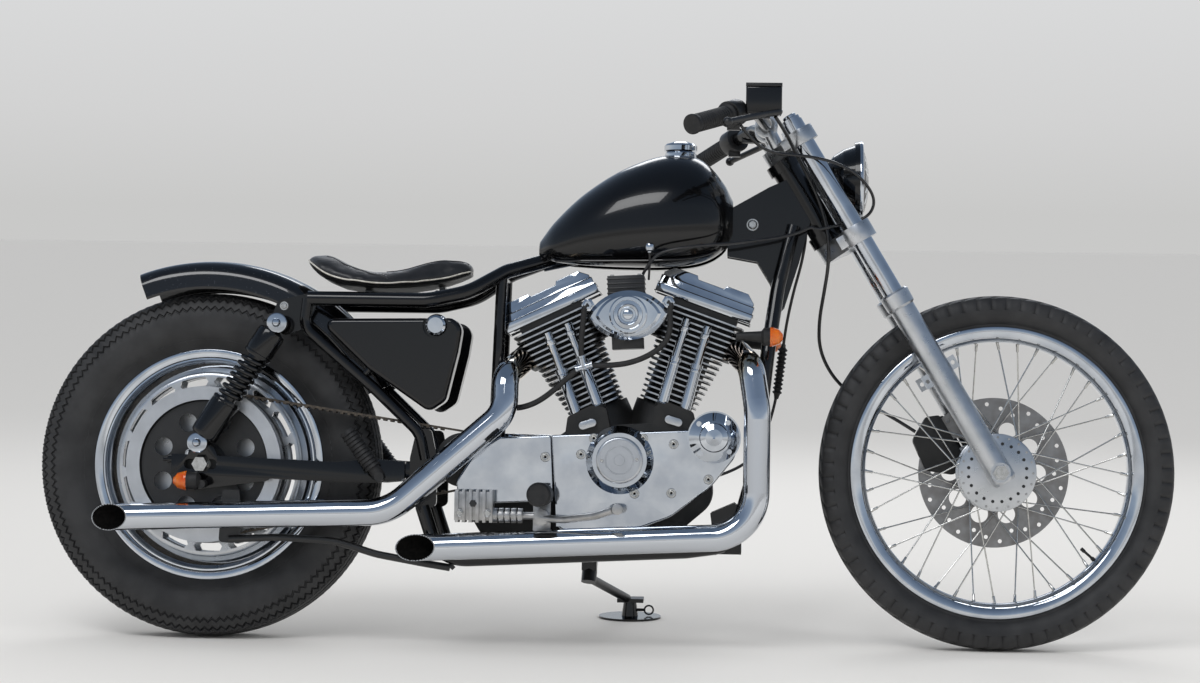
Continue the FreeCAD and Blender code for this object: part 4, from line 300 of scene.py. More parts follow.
add_pipe_chrome()
add_saddle_leather()
add_flake_enamel()

# Finish of each CAD node
FINISH = {name: finish for finish, names in {
    "black_enamel": "frame swing_arm shocks rear_fender oil_tank side_cover fuel_tank handlebar headlamp stand_plate",
    "chrome_plate": "filler_caps rocker_covers pushrods cam_cover round_cover sprocket_cover primary_cover air_cleaner"
                    " rear_wheel fork_tubes front_wheel",
    "black_satin": "carburettor belt_guard bar_controls levers side_stand",
    "black_wrinkle": "crankcase cylinders front_caliper",
    "satin_aluminium": "timer_cover yokes fork_sliders",
    "moulded_rubber": "rider_pegs passenger_pegs grips",
    "zinc_steel": "rear_axle front_axle",
    "pipe_chrome": "exhaust_front exhaust_rear",
    "cast_aluminium": "foot_controls rear_caliper",
    "cable_skin": "frame_cables bar_cables",
    "tyre_rubber": "rear_tyre front_tyre",
    "disc_steel": "rear_disc front_disc",
    "saddle_leather": "seat",
    "belt_rubber": "drive_belt",
    "amber_lens": "signals",
    "brushed_aluminium": "rear_pulley",
    "lamp_glass": "headlamp_lens",
}.items() for name in names.split()}
for name, finish in FINISH.items():
    NODES[name].data.materials.clear()
    NODES[name].data.materials.append(MATERIALS[finish])


# Shaping


def mode(name):
    bpy.ops.object.mode_set(mode=name)


def select_all(action="SELECT"):
    bpy.ops.mesh.select_all(action=action)


def only(*objs):
    """Selects just these objects in object mode, the first one active."""
    if bpy.context.object and bpy.context.object.mode != "OBJECT":
        mode("OBJECT")
    bpy.ops.object.select_all(action="DESELECT")
    for obj in objs:
        obj.select_set(True)
    bpy.context.view_layer.objects.active = objs[0]


def edited(obj, action="SELECT"):
    """Starts the editing of a shape with all of it selected, or none."""
    only(obj)
    mode("EDIT")
    select_all(action)


def with_settings(thing, **settings):
    for key, value in settings.items():
        setattr(thing, key, value)
    return thing


def linked(name, mesh):
    """A new object in the scene that shows some data."""
    obj = bpy.data.objects.new(name, mesh)
    bpy.context.scene.collection.objects.link(obj)
    return obj


def applied(obj, name, kind, **settings):
    """Adds a modifier and applies it."""
    only(obj)
    bpy.ops.object.modifier_apply(modifier=with_settings(obj.modifiers.new(name, kind), **settings).name)
    return obj


def chain(name, points):
    """A single row of joined points, left in edit mode with all of it selected."""
    bpy.ops.mesh.primitive_plane_add(size=1, location=(0, 0, 0))
    obj = bpy.context.object
    obj.name = name
    edited(obj)
    bpy.ops.mesh.merge(type="CENTER")
    bpy.ops.transform.translate(value=points[0])
    for a, b in zip(points, points[1:]):
        step = (b[0] - a[0], b[1] - a[1], b[2] - a[2])
        bpy.ops.mesh.extrude_region_move(TRANSFORM_OT_translate={"value": step})
    select_all()
    return obj


def closed(gap=0.005):
    """Joins points of the edited shape that lie within a gap, turns its faces outwards and ends the editing."""
    select_all()
    bpy.ops.mesh.remove_doubles(threshold=gap)
    bpy.ops.mesh.normals_make_consistent(inside=False)
    mode("OBJECT")


def lathe(name, profile, steps):
    """Turned piece about its own Z axis; the profile's rows are radius and height."""
    obj = chain(name, [(r, 0, z) for r, z in profile])
    bpy.ops.mesh.spin(steps=steps, angle=CIRCLE, center=(0, 0, 0), axis=(0, 0, 1))
    closed()
    return obj


def walked(obj):
    """Each point of a turned piece with its height, its radius and its angle about the axis."""
    for vertex in obj.data.vertices:
        x, y, z = vertex.co
        yield vertex, z, math.hypot(x, y), math.atan2(y, x)


def eased(obj, width, segments=2, sharp=35):
    """Rounds the corners of a shape."""
    return applied(obj, "ease", "BEVEL", width=width, segments=segments, limit_method="ANGLE",
                   angle_limit=math.radians(sharp))


def block(name, place, size, corner, segments=2):
    """Box of a size about its place, with eased corners."""
    bpy.ops.mesh.primitive_cube_add(size=1, location=(0, 0, 0))
    box = bpy.context.object
    box.name = name
    box.matrix_world = place @ Matrix.Diagonal((*size, 1))
    only(box)
    bpy.ops.object.transform_apply(location=True, rotation=True, scale=True)
    return eased(box, corner, segments)


def tube(name, points, radius, smooth=8, sides=3):
    """Cord on one smooth curve that leaves its first point and ends at its last one."""
    curve = with_settings(bpy.data.curves.new(name, "CURVE"), dimensions="3D", bevel_depth=radius,
                          bevel_resolution=sides, resolution_u=smooth, use_fill_caps=True)
    spline = curve.splines.new("NURBS")
    spline.points.add(len(points) - 1)
    for point, place in zip(spline.points, points):
        point.co = (*place, 1)
    with_settings(spline, order_u=3, use_endpoint_u=True)
    only(linked(name, curve))
    bpy.ops.object.convert(target="MESH")
    return bpy.context.object


def loft(name, rings):
    """Skin over a row of rings that have the same number of points, closed at both ends."""
    shape = bmesh.new()
    rows = [[shape.verts.new(p) for p in ring] for ring in rings]
    for low, high in zip(rows, rows[1:]):
        for i in range(len(low)):
            k = (i + 1) % len(low)
            shape.faces.new((low[i], low[k], high[k], high[i]))
    shape.faces.new(rows[0][::-1])
    shape.faces.new(rows[-1])
    bmesh.ops.recalc_face_normals(shape, faces=shape.faces)
    mesh = bpy.data.meshes.new(name)
    shape.to_mesh(mesh)
    shape.free()
    return linked(name, mesh)


def joined(name, objs):
    only(*objs)
    bpy.ops.object.join()
    bpy.context.object.name = name
    return bpy.context.object


def finished(obj, finish, place=Matrix.Identity(4), body="root", smooth=32, stands_for=()):
    """Leans the piece with the machine, gives it its finish and hangs it on its body."""
    bpy.context.view_layer.update()
    obj.matrix_world = STAND @ place @ obj.matrix_world
    only(obj)
    bpy.ops.object.transform_apply(location=True, rotation=True, scale=True)
    bpy.ops.object.shade_smooth_by_angle(angle=math.radians(smooth))
    obj.data.materials.clear()
    obj.data.materials.append(MATERIALS[finish])
    if body:
        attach(obj, body)
    if stands_for:
        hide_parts(*stands_for)
    return obj


def spread(name, shape, places, finish, **how):
    """One finished piece made of copies of a shape, or of a turned (profile, steps), at each place."""
    if isinstance(shape, tuple):
        shape = lathe(name, *shape)
    made = []
    for place in places:
        twin = linked(name, shape.data.copy())
        twin.matrix_world = place @ shape.matrix_world
        made.append(twin)
    bpy.data.objects.remove(shape)
    return finished(joined(name, made), finish, **how)


def painted(node_name, finish, wanted):
    """Gives a finish to a CAD node's faces by a test on their middle and normal, on the upright machine."""
    mesh = NODES[node_name].data
    mesh.materials.append(MATERIALS[finish])
    for face in mesh.polygons:
        if wanted(UPRIGHT @ face.center, (UPRIGHT.to_3x3() @ face.normal).normalized()):
            face.material_index = len(mesh.materials) - 1


def body_of(node_name):
    holder = NODES[node_name].parent
    return next(name for name, empty in frame["bodies"].items() if empty == holder)


def dressed(node_name, width):
    """A CAD node's own shape with its corners eased, standing in for that node."""
    obj = linked(node_name + "_skin", NODES[node_name].data.copy())
    edited(obj)
    bpy.ops.mesh.remove_doubles(threshold=1e-6)
    bpy.ops.mesh.dissolve_limited(angle_limit=math.radians(1.0))
    mode("OBJECT")
    eased(obj, width * MM, 2, 30)
    bpy.ops.object.shade_smooth_by_angle(angle=math.radians(32))
    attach(obj, body_of(node_name))
    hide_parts(node_name)


# Sections, as rows of (distance from the middle, radius or height)


def arc(a, b, c, count):
    """Points on the circle through a, b and c, from a up to but without c."""
    a, b, c = complex(*a), complex(*b), complex(*c)
    ratio = (c - a) / (b - a)
    middle = a + (b - a) * (ratio - abs(ratio) ** 2) / (2j * ratio.imag)
    past, end = (cmath.phase((p - middle) / (a - middle)) for p in (b, c))
    if past * end < 0:
        end += math.copysign(CIRCLE, past)
    points = [middle + (a - middle) * cmath.exp(1j * end * i / count) for i in range(count)]
    return [(p.real, p.imag) for p in points]


def mirrored(rows):
    """The same rows in reverse on the other side."""
    return [(-y, r) for y, r in reversed(rows)]


def between(rows, x):
    """Value from a table of (x, value) on straight lines."""
    for (a, low), (b, high) in zip(rows, rows[1:]):
        if x <= b:
            return low + (high - low) * (x - a) / (b - a)
    return rows[-1][1]


def smooth_row(rows, x):
    """Row of values at x on smooth curves through a table's rows."""
    last = len(rows) - 1
    k = max(i for i in range(last) if rows[i][0] <= x or i == 0)
    r = [rows[max(k - 1, 0)], rows[k], rows[k + 1], rows[min(k + 2, last)]]
    span = r[2][0] - r[1][0]
    t = (x - r[1][0]) / span
    made = []
    for j in range(1, len(rows[0])):
        before, after = ((r[b][j] - r[a][j]) / (r[b][0] - r[a][0]) * span for a, b in ((0, 2), (1, 3)))
        made.append((2 * t ** 3 - 3 * t ** 2 + 1) * r[1][j] + (t ** 3 - 2 * t ** 2 + t) * before
                    + (3 * t ** 2 - 2 * t ** 3) * r[2][j] + (t ** 3 - t ** 2) * after)
    return made


# Tyres

# The treads stay this far inside the CAD tyres' diameter
TREAD_IN = 0.5
REAR_FLANGE_R = 224.0
FRONT_FLANGE_R = 281.0
# Distances from the middle: a rib without grooves, where the rear shoulder begins, where the front slots begin
RIB_HALF = 6
SHOULDER_Y = 50
SLOT_Y = 14


def scored(points, cuts):
    """Cuts grooves into a row of points: each cut is the distance along it, a width and a depth."""
    made = []
    run = 0.0
    for i, (y, r) in enumerate(points):
        if i:
            run += math.dist(points[i - 1], points[i])
        a, b = points[max(i - 1, 0)], points[min(i + 1, len(points) - 1)]
        length = math.dist(a, b)
        deep = max((d for at, wide, d in cuts if abs(run - at) < wide / 2), default=0.0)
        made.append((y + (b[1] - a[1]) / length * deep, r - (b[0] - a[0]) / length * deep))
    return made


def tyre_outline(diameter, width, flange_r, bead_half, grooves, shoulder_grooves):
    """Half of a tyre's section from the middle of the tread to the bead, grooves as (y, width, depth)."""
    top = diameter / 2
    half = width / 2
    over_r = flange_r + 2.5
    side_r = over_r + 0.45 * (top - over_r)
    shoulder = (0.80 * half, top - 0.16 * half)
    bulge = (0.95 * half, side_r + 0.62 * (shoulder[1] - side_r))
    lip = (bead_half + 0.55 * (half - bead_half), over_r + 0.28 * (side_r - over_r))
    drop = top - shoulder[1]
    radius = (shoulder[0] ** 2 + drop ** 2) / (2 * drop)

    def crown(y):
        return top - radius + math.sqrt(radius ** 2 - y ** 2)

    rows = [(0.0, top)]
    for y, wide, deep in grooves:
        rows += [(y - wide / 2, crown(y - wide / 2)), (y - wide / 2 + 0.7, crown(y) - deep),
                 (y + wide / 2 - 0.7, crown(y) - deep), (y + wide / 2, crown(y + wide / 2))]
    rows += scored(arc(shoulder, bulge, (half, side_r), 24), shoulder_grooves)
    rows += arc((half, side_r), lip, (bead_half, over_r), 8)
    return rows + [(bead_half + 1.0, over_r), (bead_half, flange_r - 12)]


def tyre(name, rows, wall, steps):
    """Turned tyre with an inner wall; returns it still drawn about its own axis."""
    bead, foot = rows[-1]
    widest = max(y for y, r in rows) - wall
    roof = rows[0][1] - wall
    inside = [(bead - 3, foot), (widest, foot + 30), (widest * 0.75, roof)]
    order = mirrored(rows[1:]) + rows
    return lathe(name, [(r, y) for y, r in order + inside + mirrored(inside) + [order[0]]], steps)


def zigzagged(obj, count, reach, floor_r):
    """Moves the tread's grooves to and fro round the tyre, as sawtooth sipes run."""
    for vertex, z, r, angle in walked(obj):
        if r < floor_r or abs(z) < RIB_HALF:
            continue
        share = (angle / CIRCLE * count) % 1.0
        step = reach * (4 * abs(share - 0.5) - 1) * min(1.0, (r - floor_r) / 8)
        shoulder = abs(z) >= SHOULDER_Y
        vertex.co.z += math.copysign(0.35 if shoulder else 1.0, z) * step
        if shoulder:
            vertex.co.xy = vertex.co.xy * (1 - step * 1.2 / r)


def slotted(obj, steps, every, low_r, deep, slant):
    """Cuts slanted grooves from beside the tread's middle down over both shoulders."""
    for vertex, z, r, angle in walked(obj):
        if abs(z) < SLOT_Y or r < low_r:
            continue
        down = abs(z) - SLOT_Y + FRONT_TYRE_D / 2 - 0.3 - r
        if round(angle / CIRCLE * steps + slant * min(down, 22)) % every == 0:
            lean = min(1.0, max(0.0, (338 - r) / 8))
            vertex.co.xy = vertex.co.xy * (1 - (1 - lean) * deep / r)
            vertex.co.z -= math.copysign(lean * deep, z)


def add_tyres():
    """Fat rear tyre with sawtooth grooves; narrow front one with two grooves and slots across its shoulders."""
    rows = tyre_outline(REAR_TYRE_D - TREAD_IN, 126.8, REAR_FLANGE_R, 40.5,
                        [(14, 5, 5), (31, 5, 5), (44.5, 4.5, 5)], [(5, 5.5, 4.0), (25, 5.5, 3.4)])
    rear = tyre("rear_tyre_tread", rows, wall=9, steps=488)
    zigzagged(rear, count=122, reach=3.0, floor_r=286)
    finished(rear, "tyre_rubber", ON_REAR_AXLE, "rear_wheel", 40, ["rear_tyre"])
    rows = tyre_outline(FRONT_TYRE_D - TREAD_IN, 79.8, FRONT_FLANGE_R, 22.5, [(9, 4, 4.5)], [])
    rows[5:5] = [(15.0, 340.45), (18.5, 339.65), (22.0, 338.8), (25.5, 337.9), (29.0, 336.9)]
    front = tyre("front_tyre_tread", rows, wall=8, steps=432)
    slotted(front, steps=432, every=6, low_r=314, deep=3.4, slant=0.12)
    finished(front, "tyre_rubber", ON_FRONT_AXLE, "front_wheel", 40, ["front_tyre"])


# Fasteners


def hex_bolt(name, across, height, washer=0.0):
    """Hexagon head with a chamfered face, on a washer."""
    bpy.ops.mesh.primitive_cylinder_add(vertices=6, radius=across / 1.732, depth=height, location=(0, 0, height / 2))
    head = bpy.context.object
    head.name = name
    eased(head, height * 0.18, 1, 40)
    if not washer:
        return head
    rim = lathe(name + "_washer", [(0, -0.5), (washer, -0.5), (washer, 1.2), (washer - 0.6, 1.8), (0, 1.8)], 24)
    return joined(name, (head, rim))


def socket_bolt(radius, height):
    """Round head with a hexagon socket, as a profile and its steps."""
    return ([(0, 0), (radius, 0), (radius, height * 0.8), (radius * 0.88, height), (radius * 0.62, height),
             (radius * 0.5, height - 0.2), (radius * 0.5, height * 0.35), (0, height * 0.35)], 18)


# Wheels

HOOK_R = 68.0
WELL_R = 251.5


def rolled_rim(end, outer, inner, place):
    """Chromed rim of the rear or front wheel, from half of its outer and of its inner face."""
    rows = outer + mirrored(outer) + inner + mirrored(inner) + outer[:1]
    rim = lathe(end + "_rim", [(r, y) for y, r in rows], 180)
    finished(rim, "chrome_plate", place, end + "_wheel", 32, [end + "_wheel"])


def spoke_ends(side, i):
    """Hub end and rim end of a spoke; each crosses its neighbours and the rim takes one every nine degrees."""
    way = 1 if i % 2 else -1
    hub = math.radians(i * 18.0 + (9.0 if side > 0 else 0.0))
    rim = hub + way * math.radians(36.0)
    foot = FRONT_AXLE + Vector((HOOK_R * math.sin(hub), side * (38 + way * 2.6), HOOK_R * math.cos(hub)))
    end = FRONT_AXLE + Vector((WELL_R * math.sin(rim), side * 5, WELL_R * math.cos(rim)))
    return foot, end


def add_front_wheel():
    """Laced front wheel: rolled rim, forty crossed spokes with nipples, turned hub and valve."""
    rolled_rim("front", [(-29, 280.6), (-27, 281), (-25, 280.4), (-23.6, 268), (-21, 266), (-18.6, 265),
                         (-13.2, 256.5), (-11.4, 255)],
               [(29.8, 279), (29.6, 272), (27.8, 264.5), (25.5, 261), (19.8, 259.5), (15.6, 257), (12.6, 252.7),
                (9, WELL_R)], ON_FRONT_AXLE)
    hub = [(9.9, -55.6), (22, -55.6), (24, -54), (24, -45), (72, -42.4), (74.6, -41.2), (75, -39), (75, -36.4),
           (73, -35), (40, -31), (34, -27), (31, -20), (30, 0), (31, 20), (34, 27), (40, 31), (73, 35), (75, 36.4),
           (75, 39), (74, 41), (52, 42), (52, 55.6), (46, 55.9), (9.9, 55.9), (9.9, -55.6)]
    finished(lathe("front_hub", hub, 90), "satin_aluminium", ON_FRONT_AXLE, "front_wheel", 30)
    wires, nipples, heads = [], [], []
    for side in SIDES:
        for i in range(20):
            foot, end = spoke_ends(side, i)
            way = foot - end
            nipples.append(placed(*(end - 1.5 * way.normalized()), way))
            heads.append(placed(foot.x, -41.8 if side < 0 else 41.6, foot.z, (0, side, 0)))
            wires.append(tube("spoke", [end, end.lerp(foot, 0.5), foot], 1.5, 1, 1))
    finished(joined("spokes", wires), "zinc_steel", body="front_wheel", smooth=60)
    nipple = [(0, 0), (3.4, 0), (3.4, 4), (2.9, 5), (2.7, 15), (1.8, 16.5), (0, 16.5)]
    spread("spoke_nipples", (nipple, 8), nipples, "zinc_steel", body="front_wheel", smooth=40)
    head = [(0, -1.4), (3.2, -1.4), (3.2, -0.2), (2.2, 1.2), (0, 1.4)]
    spread("spoke_heads", (head, 10), heads, "cast_aluminium", body="front_wheel")
    valve = [(0, 0), (4, 0), (4, 6), (2.6, 7), (2.6, 24), (3.6, 24.5), (3.6, 33), (0, 34)]
    angle = math.radians(131)
    foot = FRONT_AXLE + Vector((252 * math.sin(angle), 0, 252 * math.cos(angle)))
    finished(lathe("front_valve", valve, 14), "moulded_rubber", placed(*foot, FRONT_AXLE - foot), "front_wheel")


def cut_slots(web):
    """Fifteen long slots with rounded ends through a web of the rear wheel."""
    def spot_of(point):
        return math.hypot(point.x, point.y), math.degrees(math.atan2(point.y, point.x)) % 24.0

    edited(web, "DESELECT")
    shape = bmesh.from_edit_mesh(web.data)
    for face in shape.faces:
        r, step = spot_of(face.calc_center_median())
        face.select = 152 < r < 170 and 3.5 < step < 20.5
    bmesh.update_edit_mesh(web.data)
    bpy.ops.mesh.delete(type="FACE")
    for vertex in shape.verts:
        r, step = spot_of(vertex.co)
        if abs(r - 161) < 0.5 and vertex.is_boundary:
            vertex.co = Matrix.Rotation(math.radians(-2.0 if step < 12 else 2.0), 3, "Z") @ vertex.co
    bmesh.update_edit_mesh(web.data)
    mode("OBJECT")


def add_rear_wheel():
    """Rear wheel: deep rolled rim with stepped lips, and two slotted webs on a hub."""
    rolled_rim("rear", [(-47.4, 222.6), (-45.6, 224), (-43.4, 223.4), (-41.4, 208), (-38, 206), (-29.76, 205),
                        (-21.12, 185.8), (-18.24, 182.8)],
               [(47.9, 221), (47.6, 214), (45.6, 208), (44.4, 206.2), (44.6, 203.4), (42, 201.8), (31.68, 200),
                (26.88, 197), (20.16, 179.8), (17.28, 178.8)], ON_REAR_AXLE)
    section = [(46, 35.8), (60, 35.7), (144, 33.8), (147, 34.4), (149.4, 37.8), (152, 38), (161, 38), (170, 38),
               (174, 38), (176.6, 36.6), (178, 34), (179.5, 11.5)]
    for side, turn in (("right", math.pi), ("left", 0.0)):
        web = lathe("rear_web_" + side, section, 180)
        cut_slots(web)
        applied(web, "wall", "SOLIDIFY", thickness=8.0, offset=-1.0)
        web.matrix_world = Matrix.Rotation(turn, 4, "X")
        finished(web, "satin_aluminium", ON_REAR_AXLE, "rear_wheel")
    hub = [(10, -50), (45, -50), (46, -48), (46, 48), (45, 50), (10, 50), (10, -50)]
    finished(lathe("rear_hub", hub, 60), "black_satin", ON_REAR_AXLE, "rear_wheel")


def add_wheel_details():
    """Black discs of painted shade where the front hub's ring has its holes, and the rear pulley's black web and bright
    bolts.
    """
    # Black discs on the hub's ring where its holes are: painted shade
    hole_shade_spots = [placed(*(FRONT_AXLE + Vector((56 * math.sin(a), -43.4, 56 * math.cos(a)))), RIGHT)
               for a in angles(20, 0.5)]
    spread("hub_hole_shade", ([(0, 0), (3.2, 0), (3.2, 0.5), (0, 0.5)], 12), hole_shade_spots, "black_satin",
           body="front_wheel")
    painted("rear_pulley", "black_satin",
            lambda middle, normal: math.hypot(middle.x - REAR_AXLE.x, middle.z - REAR_AXLE.z) < 123.6)
    bolts = [placed(34 * math.sin(a), -101.1, 334 + 34 * math.cos(a), RIGHT) for a in angles(5, 0.25)]
    spread("pulley_bolts", hex_bolt("pulley_bolts", 13, 7, 9), bolts, "chrome_plate", body="rear_wheel")


# Fuel tank and fender

# Rows of x, half width, bottom, waist and top
FUEL_SECTIONS = [
    (634, 26, 750, 760, 776), (662, 62, 737, 768, 814), (720, 96, 731, 792, 870), (800, 119, 728, 812, 922),
    (885, 125, 729, 824, 950), (950, 112, 738, 828, 939), (992, 84, 762, 824, 894), (1010, 44, 795, 828, 860),
]
TUNNEL_ROOF = [(600, 760), (640, 766), (900, 826), (1000, 850), (1060, 868)]


def tank_ring(x):
    """Section of the fuel tank at x, from the tunnel's roof round the left side and back."""
    half, bottom, waist, top = smooth_row(FUEL_SECTIONS, x)
    roof = max(bottom + 0.5, min(between(TUNNEL_ROOF, x), top - 6))
    tunnel = min(38, half * 0.5)
    edge = (max(half * 0.55, tunnel + 1), bottom)
    side = [(0, roof), (tunnel * 0.6, roof), (tunnel, roof - (roof - bottom) * 0.15), (tunnel, bottom + 0.2), edge]
    side += arc(edge, (0.90 * half, bottom + 0.30 * (waist - bottom)), (half, waist), 6)[1:]
    side += arc((half, waist), (0.76 * half, waist + 0.66 * (top - waist)), (0, top), 14)
    side.append((0, top))
    return [(x, y, z) for y, z in side + mirrored(side[1:-1])]


def add_fuel_tank():
    """Teardrop tank: pressed halves, tunnel underneath and a welded lip along its lower edge."""
    xs = [634.5, 637, 641, 647, 654] + [662 + 8.0 * i for i in range(42)] + [996, 1000, 1003.5, 1006.5, 1009, 1010]
    obj = loft("fuel_tank_shell", [tank_ring(x) for x in xs])
    edited(obj)
    closed(0.05)
    finished(obj, "black_enamel", smooth=38, stands_for=["fuel_tank"])
    for side in SIDES:
        rows = []
        for i in range(30):
            x = 668 + 312 * i / 29
            half, bottom, waist, _ = smooth_row(FUEL_SECTIONS, x)
            rows.append((x, side * (half * 0.80 - 2), bottom + 0.12 * (waist - bottom) - 1.5))
        finished(tube("tank_lip", rows, 2.4), "black_enamel")


def fender_outline(shift):
    """Fender's section from its left skirt over the top to its right, moved in by a wall."""
    rows = [(79.6, 341.4), (80.0, 343), (79.8, 346), (78.9, 349), (78.9, 365)]
    rows += arc((78.9, 365), (66.0, 386), (36, 392.3), 8)
    rows += arc((36, 392.3), (18, 396.1), (0, 396.6), 8)[1:]
    half = [(y - shift * 0.8, r - shift) for y, r in rows]
    return half + mirrored(half[:-1])


# Degrees round the rear axle: the fender's nose from straight up, and its sweep back to the tail
FENDER_NOSE, FENDER_SWEEP = -21, 87
FENDER_WALL = 2.4


def add_rear_fender():
    """Bobbed steel fender with a raised middle and rolled skirts, cut square at its tail."""
    outer = fender_outline(0)
    ring = outer + fender_outline(FENDER_WALL)[::-1] + outer[:1]
    turned = chain("rear_fender_skin", [(r, 0, y) for y, r in ring])
    bpy.ops.mesh.spin(steps=72, angle=-math.radians(FENDER_SWEEP), center=(0, 0, 0), axis=(0, 0, 1))
    select_all()
    bpy.ops.mesh.remove_doubles(threshold=0.005)
    for first in (True, False):
        ends = bmesh.from_edit_mesh(turned.data)
        select_all("DESELECT")
        for edge in ends.edges:
            middle = (edge.verts[0].co + edge.verts[1].co) / 2
            near = abs(math.degrees(math.atan2(middle.y, middle.x))) < 20
            edge.select = edge.is_boundary and near == first
        bmesh.update_edit_mesh(turned.data)
        bpy.ops.mesh.fill()
    closed()
    turned.matrix_world = Matrix.Rotation(math.radians(FENDER_NOSE), 4, "Z")
    finished(turned, "flake_enamel", ON_REAR_AXLE, smooth=35, stands_for=["rear_fender"])
    spread("fender_spacers", ([(0, 0), (7, 0), (7, 24.5), (0, 24.5)], 18),
           both_sides((158, 79, 647), (190, 79, 640)), "black_satin")


# Saddle: heights of its top and underside and its half width along the machine

SEAT_TOP = [(184, 738), (192, 748), (204, 751.5), (220, 749), (240, 740), (262, 727), (290, 716), (318, 710),
            (350, 711), (380, 717), (415, 730), (450, 741), (474, 746), (492, 744), (504, 735), (509, 722)]
SEAT_LOW = [(184, 736), (190, 727), (200, 716), (215, 703), (240, 689), (262, 683), (300, 679), (350, 678),
            (400, 682), (440, 689), (470, 697), (494, 707), (505, 713), (509, 718)]
SEAT_HALF = [(184, 40), (190, 66), (200, 88), (215, 110), (240, 120), (270, 124), (300, 123), (335, 115), (370, 101),
             (410, 80), (440, 64), (470, 53), (494, 41), (503, 32), (509, 16)]
# Half widths along the two seams of each side
REAR_SEAM = [(226, 66), (260, 80), (300, 88), (335, 96), (362, 100)]
NOSE_SEAM = [(280, 70), (340, 62), (380, 50), (440, 34), (498, 20)]


def seat_ring(x, smaller):
    """Section of the cushion at x: flat underneath, full at its sides, crowned on top and dished in the middle."""
    low = between(SEAT_LOW, x) + smaller
    rise = max(between(SEAT_TOP, x) - smaller - low, 2)
    half = max(between(SEAT_HALF, x) - smaller, 4)
    rows = []
    for angle in angles(36):
        c, s = math.cos(angle), math.sin(angle)
        y = half * math.copysign(abs(c) ** 0.62, c)
        if s >= 0:
            dish = 5.0 * math.exp(-(y / 34) ** 2) * math.exp(-((x - 300) / 60) ** 2)
            z = low + rise * (0.16 + 0.84 * s ** 0.72) - dish * s
        else:
            z = low + rise * 0.16 * (1 - (-s) ** 0.5)
        rows.append((x, y, z))
    return rows


def add_saddle():
    """Sprung solo saddle: leather blown up over foam, then its seams, stitches, piping and pan."""
    xs = [188, 191, 195, 200, 207, 215, 225, 237, 250] + [262 + 13 * i for i in range(18)] + [490, 496, 501, 504]
    cushion = loft("saddle_cushion", [seat_ring(x, 3.5) for x in xs])
    cushion.data.transform(Matrix.Scale(MM, 4))
    applied(cushion, "grid", "REMESH", mode="VOXEL", voxel_size=5 * MM)
    inflated(cushion, 5 * MM)
    applied(cushion, "smooth", "SMOOTH", factor=0.5, iterations=4)
    applied(cushion, "finer", "SUBSURF", levels=1, render_levels=1)
    cushion.data.transform(Matrix.Scale(1 / MM, 4))
    skin = BVHTree.FromObject(cushion, bpy.context.evaluated_depsgraph_get())
    finished(cushion, "saddle_leather", smooth=180, stands_for=["seat"])
    add_saddle_trim(skin)


def inflated(obj, most):
    """Blows a closed skin up from inside and keeps each point within a distance of where it was."""
    before = [v.co.copy() for v in obj.data.vertices]
    cloth = obj.modifiers.new("cloth", "CLOTH")
    cloth.settings.use_pressure = True
    cloth.settings.uniform_pressure_force = 4
    cloth.settings.effector_weights.gravity = 0
    for step in range(1, 21):
        bpy.context.scene.frame_set(step)
    shaped = obj.evaluated_get(bpy.context.evaluated_depsgraph_get())
    after = [v.co.copy() for v in shaped.data.vertices]
    obj.modifiers.remove(cloth)
    for vertex, old, new in zip(obj.data.vertices, before, after):
        move = new - old
        if move.length > most:
            move = move * (most / move.length)
        vertex.co = old + move
    bpy.context.scene.frame_set(1)


def laid(skin, points, lift):
    """Points dropped onto a surface from above and raised off it."""
    made = []
    for x, y in points:
        hit, normal = skin.ray_cast(Vector((x, y, 900)), Vector((0, 0, -1)))[:2]
        if hit is None:
            hit, normal = skin.find_nearest(Vector((x, y, 720)))[:2]
        made.append(hit + normal * lift)
    return made


def add_saddle_trim(skin):
    """White piping round the lower edge, two sewn seams a side with their stitches, and the steel pan below."""
    rim = []
    for x in [185, 188, 194, 202, 214, 230, 250] + [270 + 15 * i for i in range(15)] + [492, 500, 506]:
        low = between(SEAT_LOW, x)
        near = Vector((x, between(SEAT_HALF, x) + 6, low + 0.12 * (between(SEAT_TOP, x) - low)))
        hit, normal = skin.find_nearest(near)[:2]
        rim.append(hit + normal * 1.2)
    loop = rim + [Vector((p.x, -p.y, p.z)) for p in reversed(rim)]
    finished(tube("saddle_piping", loop + loop[:2], 1.6), "white_cord")
    seams = []
    for side in SIDES:
        for halves, first, step, count in ((NOSE_SEAM, 498, -12, 14), (REAR_SEAM, 226, 11, 12)):
            points = [(x, side * between(halves, x)) for x in (first + step * i for i in range(count))]
            seams.append(tube("saddle_seam", laid(skin, points, 0.2), 1.3))
            add_stitches(skin, points)
    finished(joined("saddle_seams", seams), "saddle_leather")
    pan = []
    for x in (192, 200, 212, 230, 252, 280, 310, 345, 380, 420, 455, 480, 495, 502):
        low = between(SEAT_LOW, x)
        half = between(SEAT_HALF, x) - 4
        pan.append([(x, half * math.cos(t), low + 1.2 + 5 * math.sin(t)) for t in angles(24)])
    finished(loft("saddle_pan", pan), "black_satin", smooth=40)


def add_stitches(skin, points):
    """Row of pale stitches about five millimetres apart beside a seam."""
    beside = laid(skin, [(x, y * 0.94) for x, y in points], 0.5)
    steps = []
    for a, b in zip(beside, beside[1:]):
        count = max(2, round((b - a).length / 5.5))
        steps += [placed(*a.lerp(b, (i + 0.5) / count), b - a) for i in range(count)]
    stitch = [(0, -1.6), (0.55, -1.1), (0.7, 0), (0.55, 1.1), (0, 1.6)]
    spread("saddle_stitches", (stitch, 6), steps, "thread")


# Engine

# Top and foot of each pushrod tube
PUSHRODS = [(engine_at(way * top_x, -100, top_z), engine_at(way * foot_x, -100, foot_z)) for way in (1, -1)
            for top_x, top_z, foot_x, foot_z in ((114.5, 325, 58.5, 157), (153.5, 308.5, 100.5, 141))]
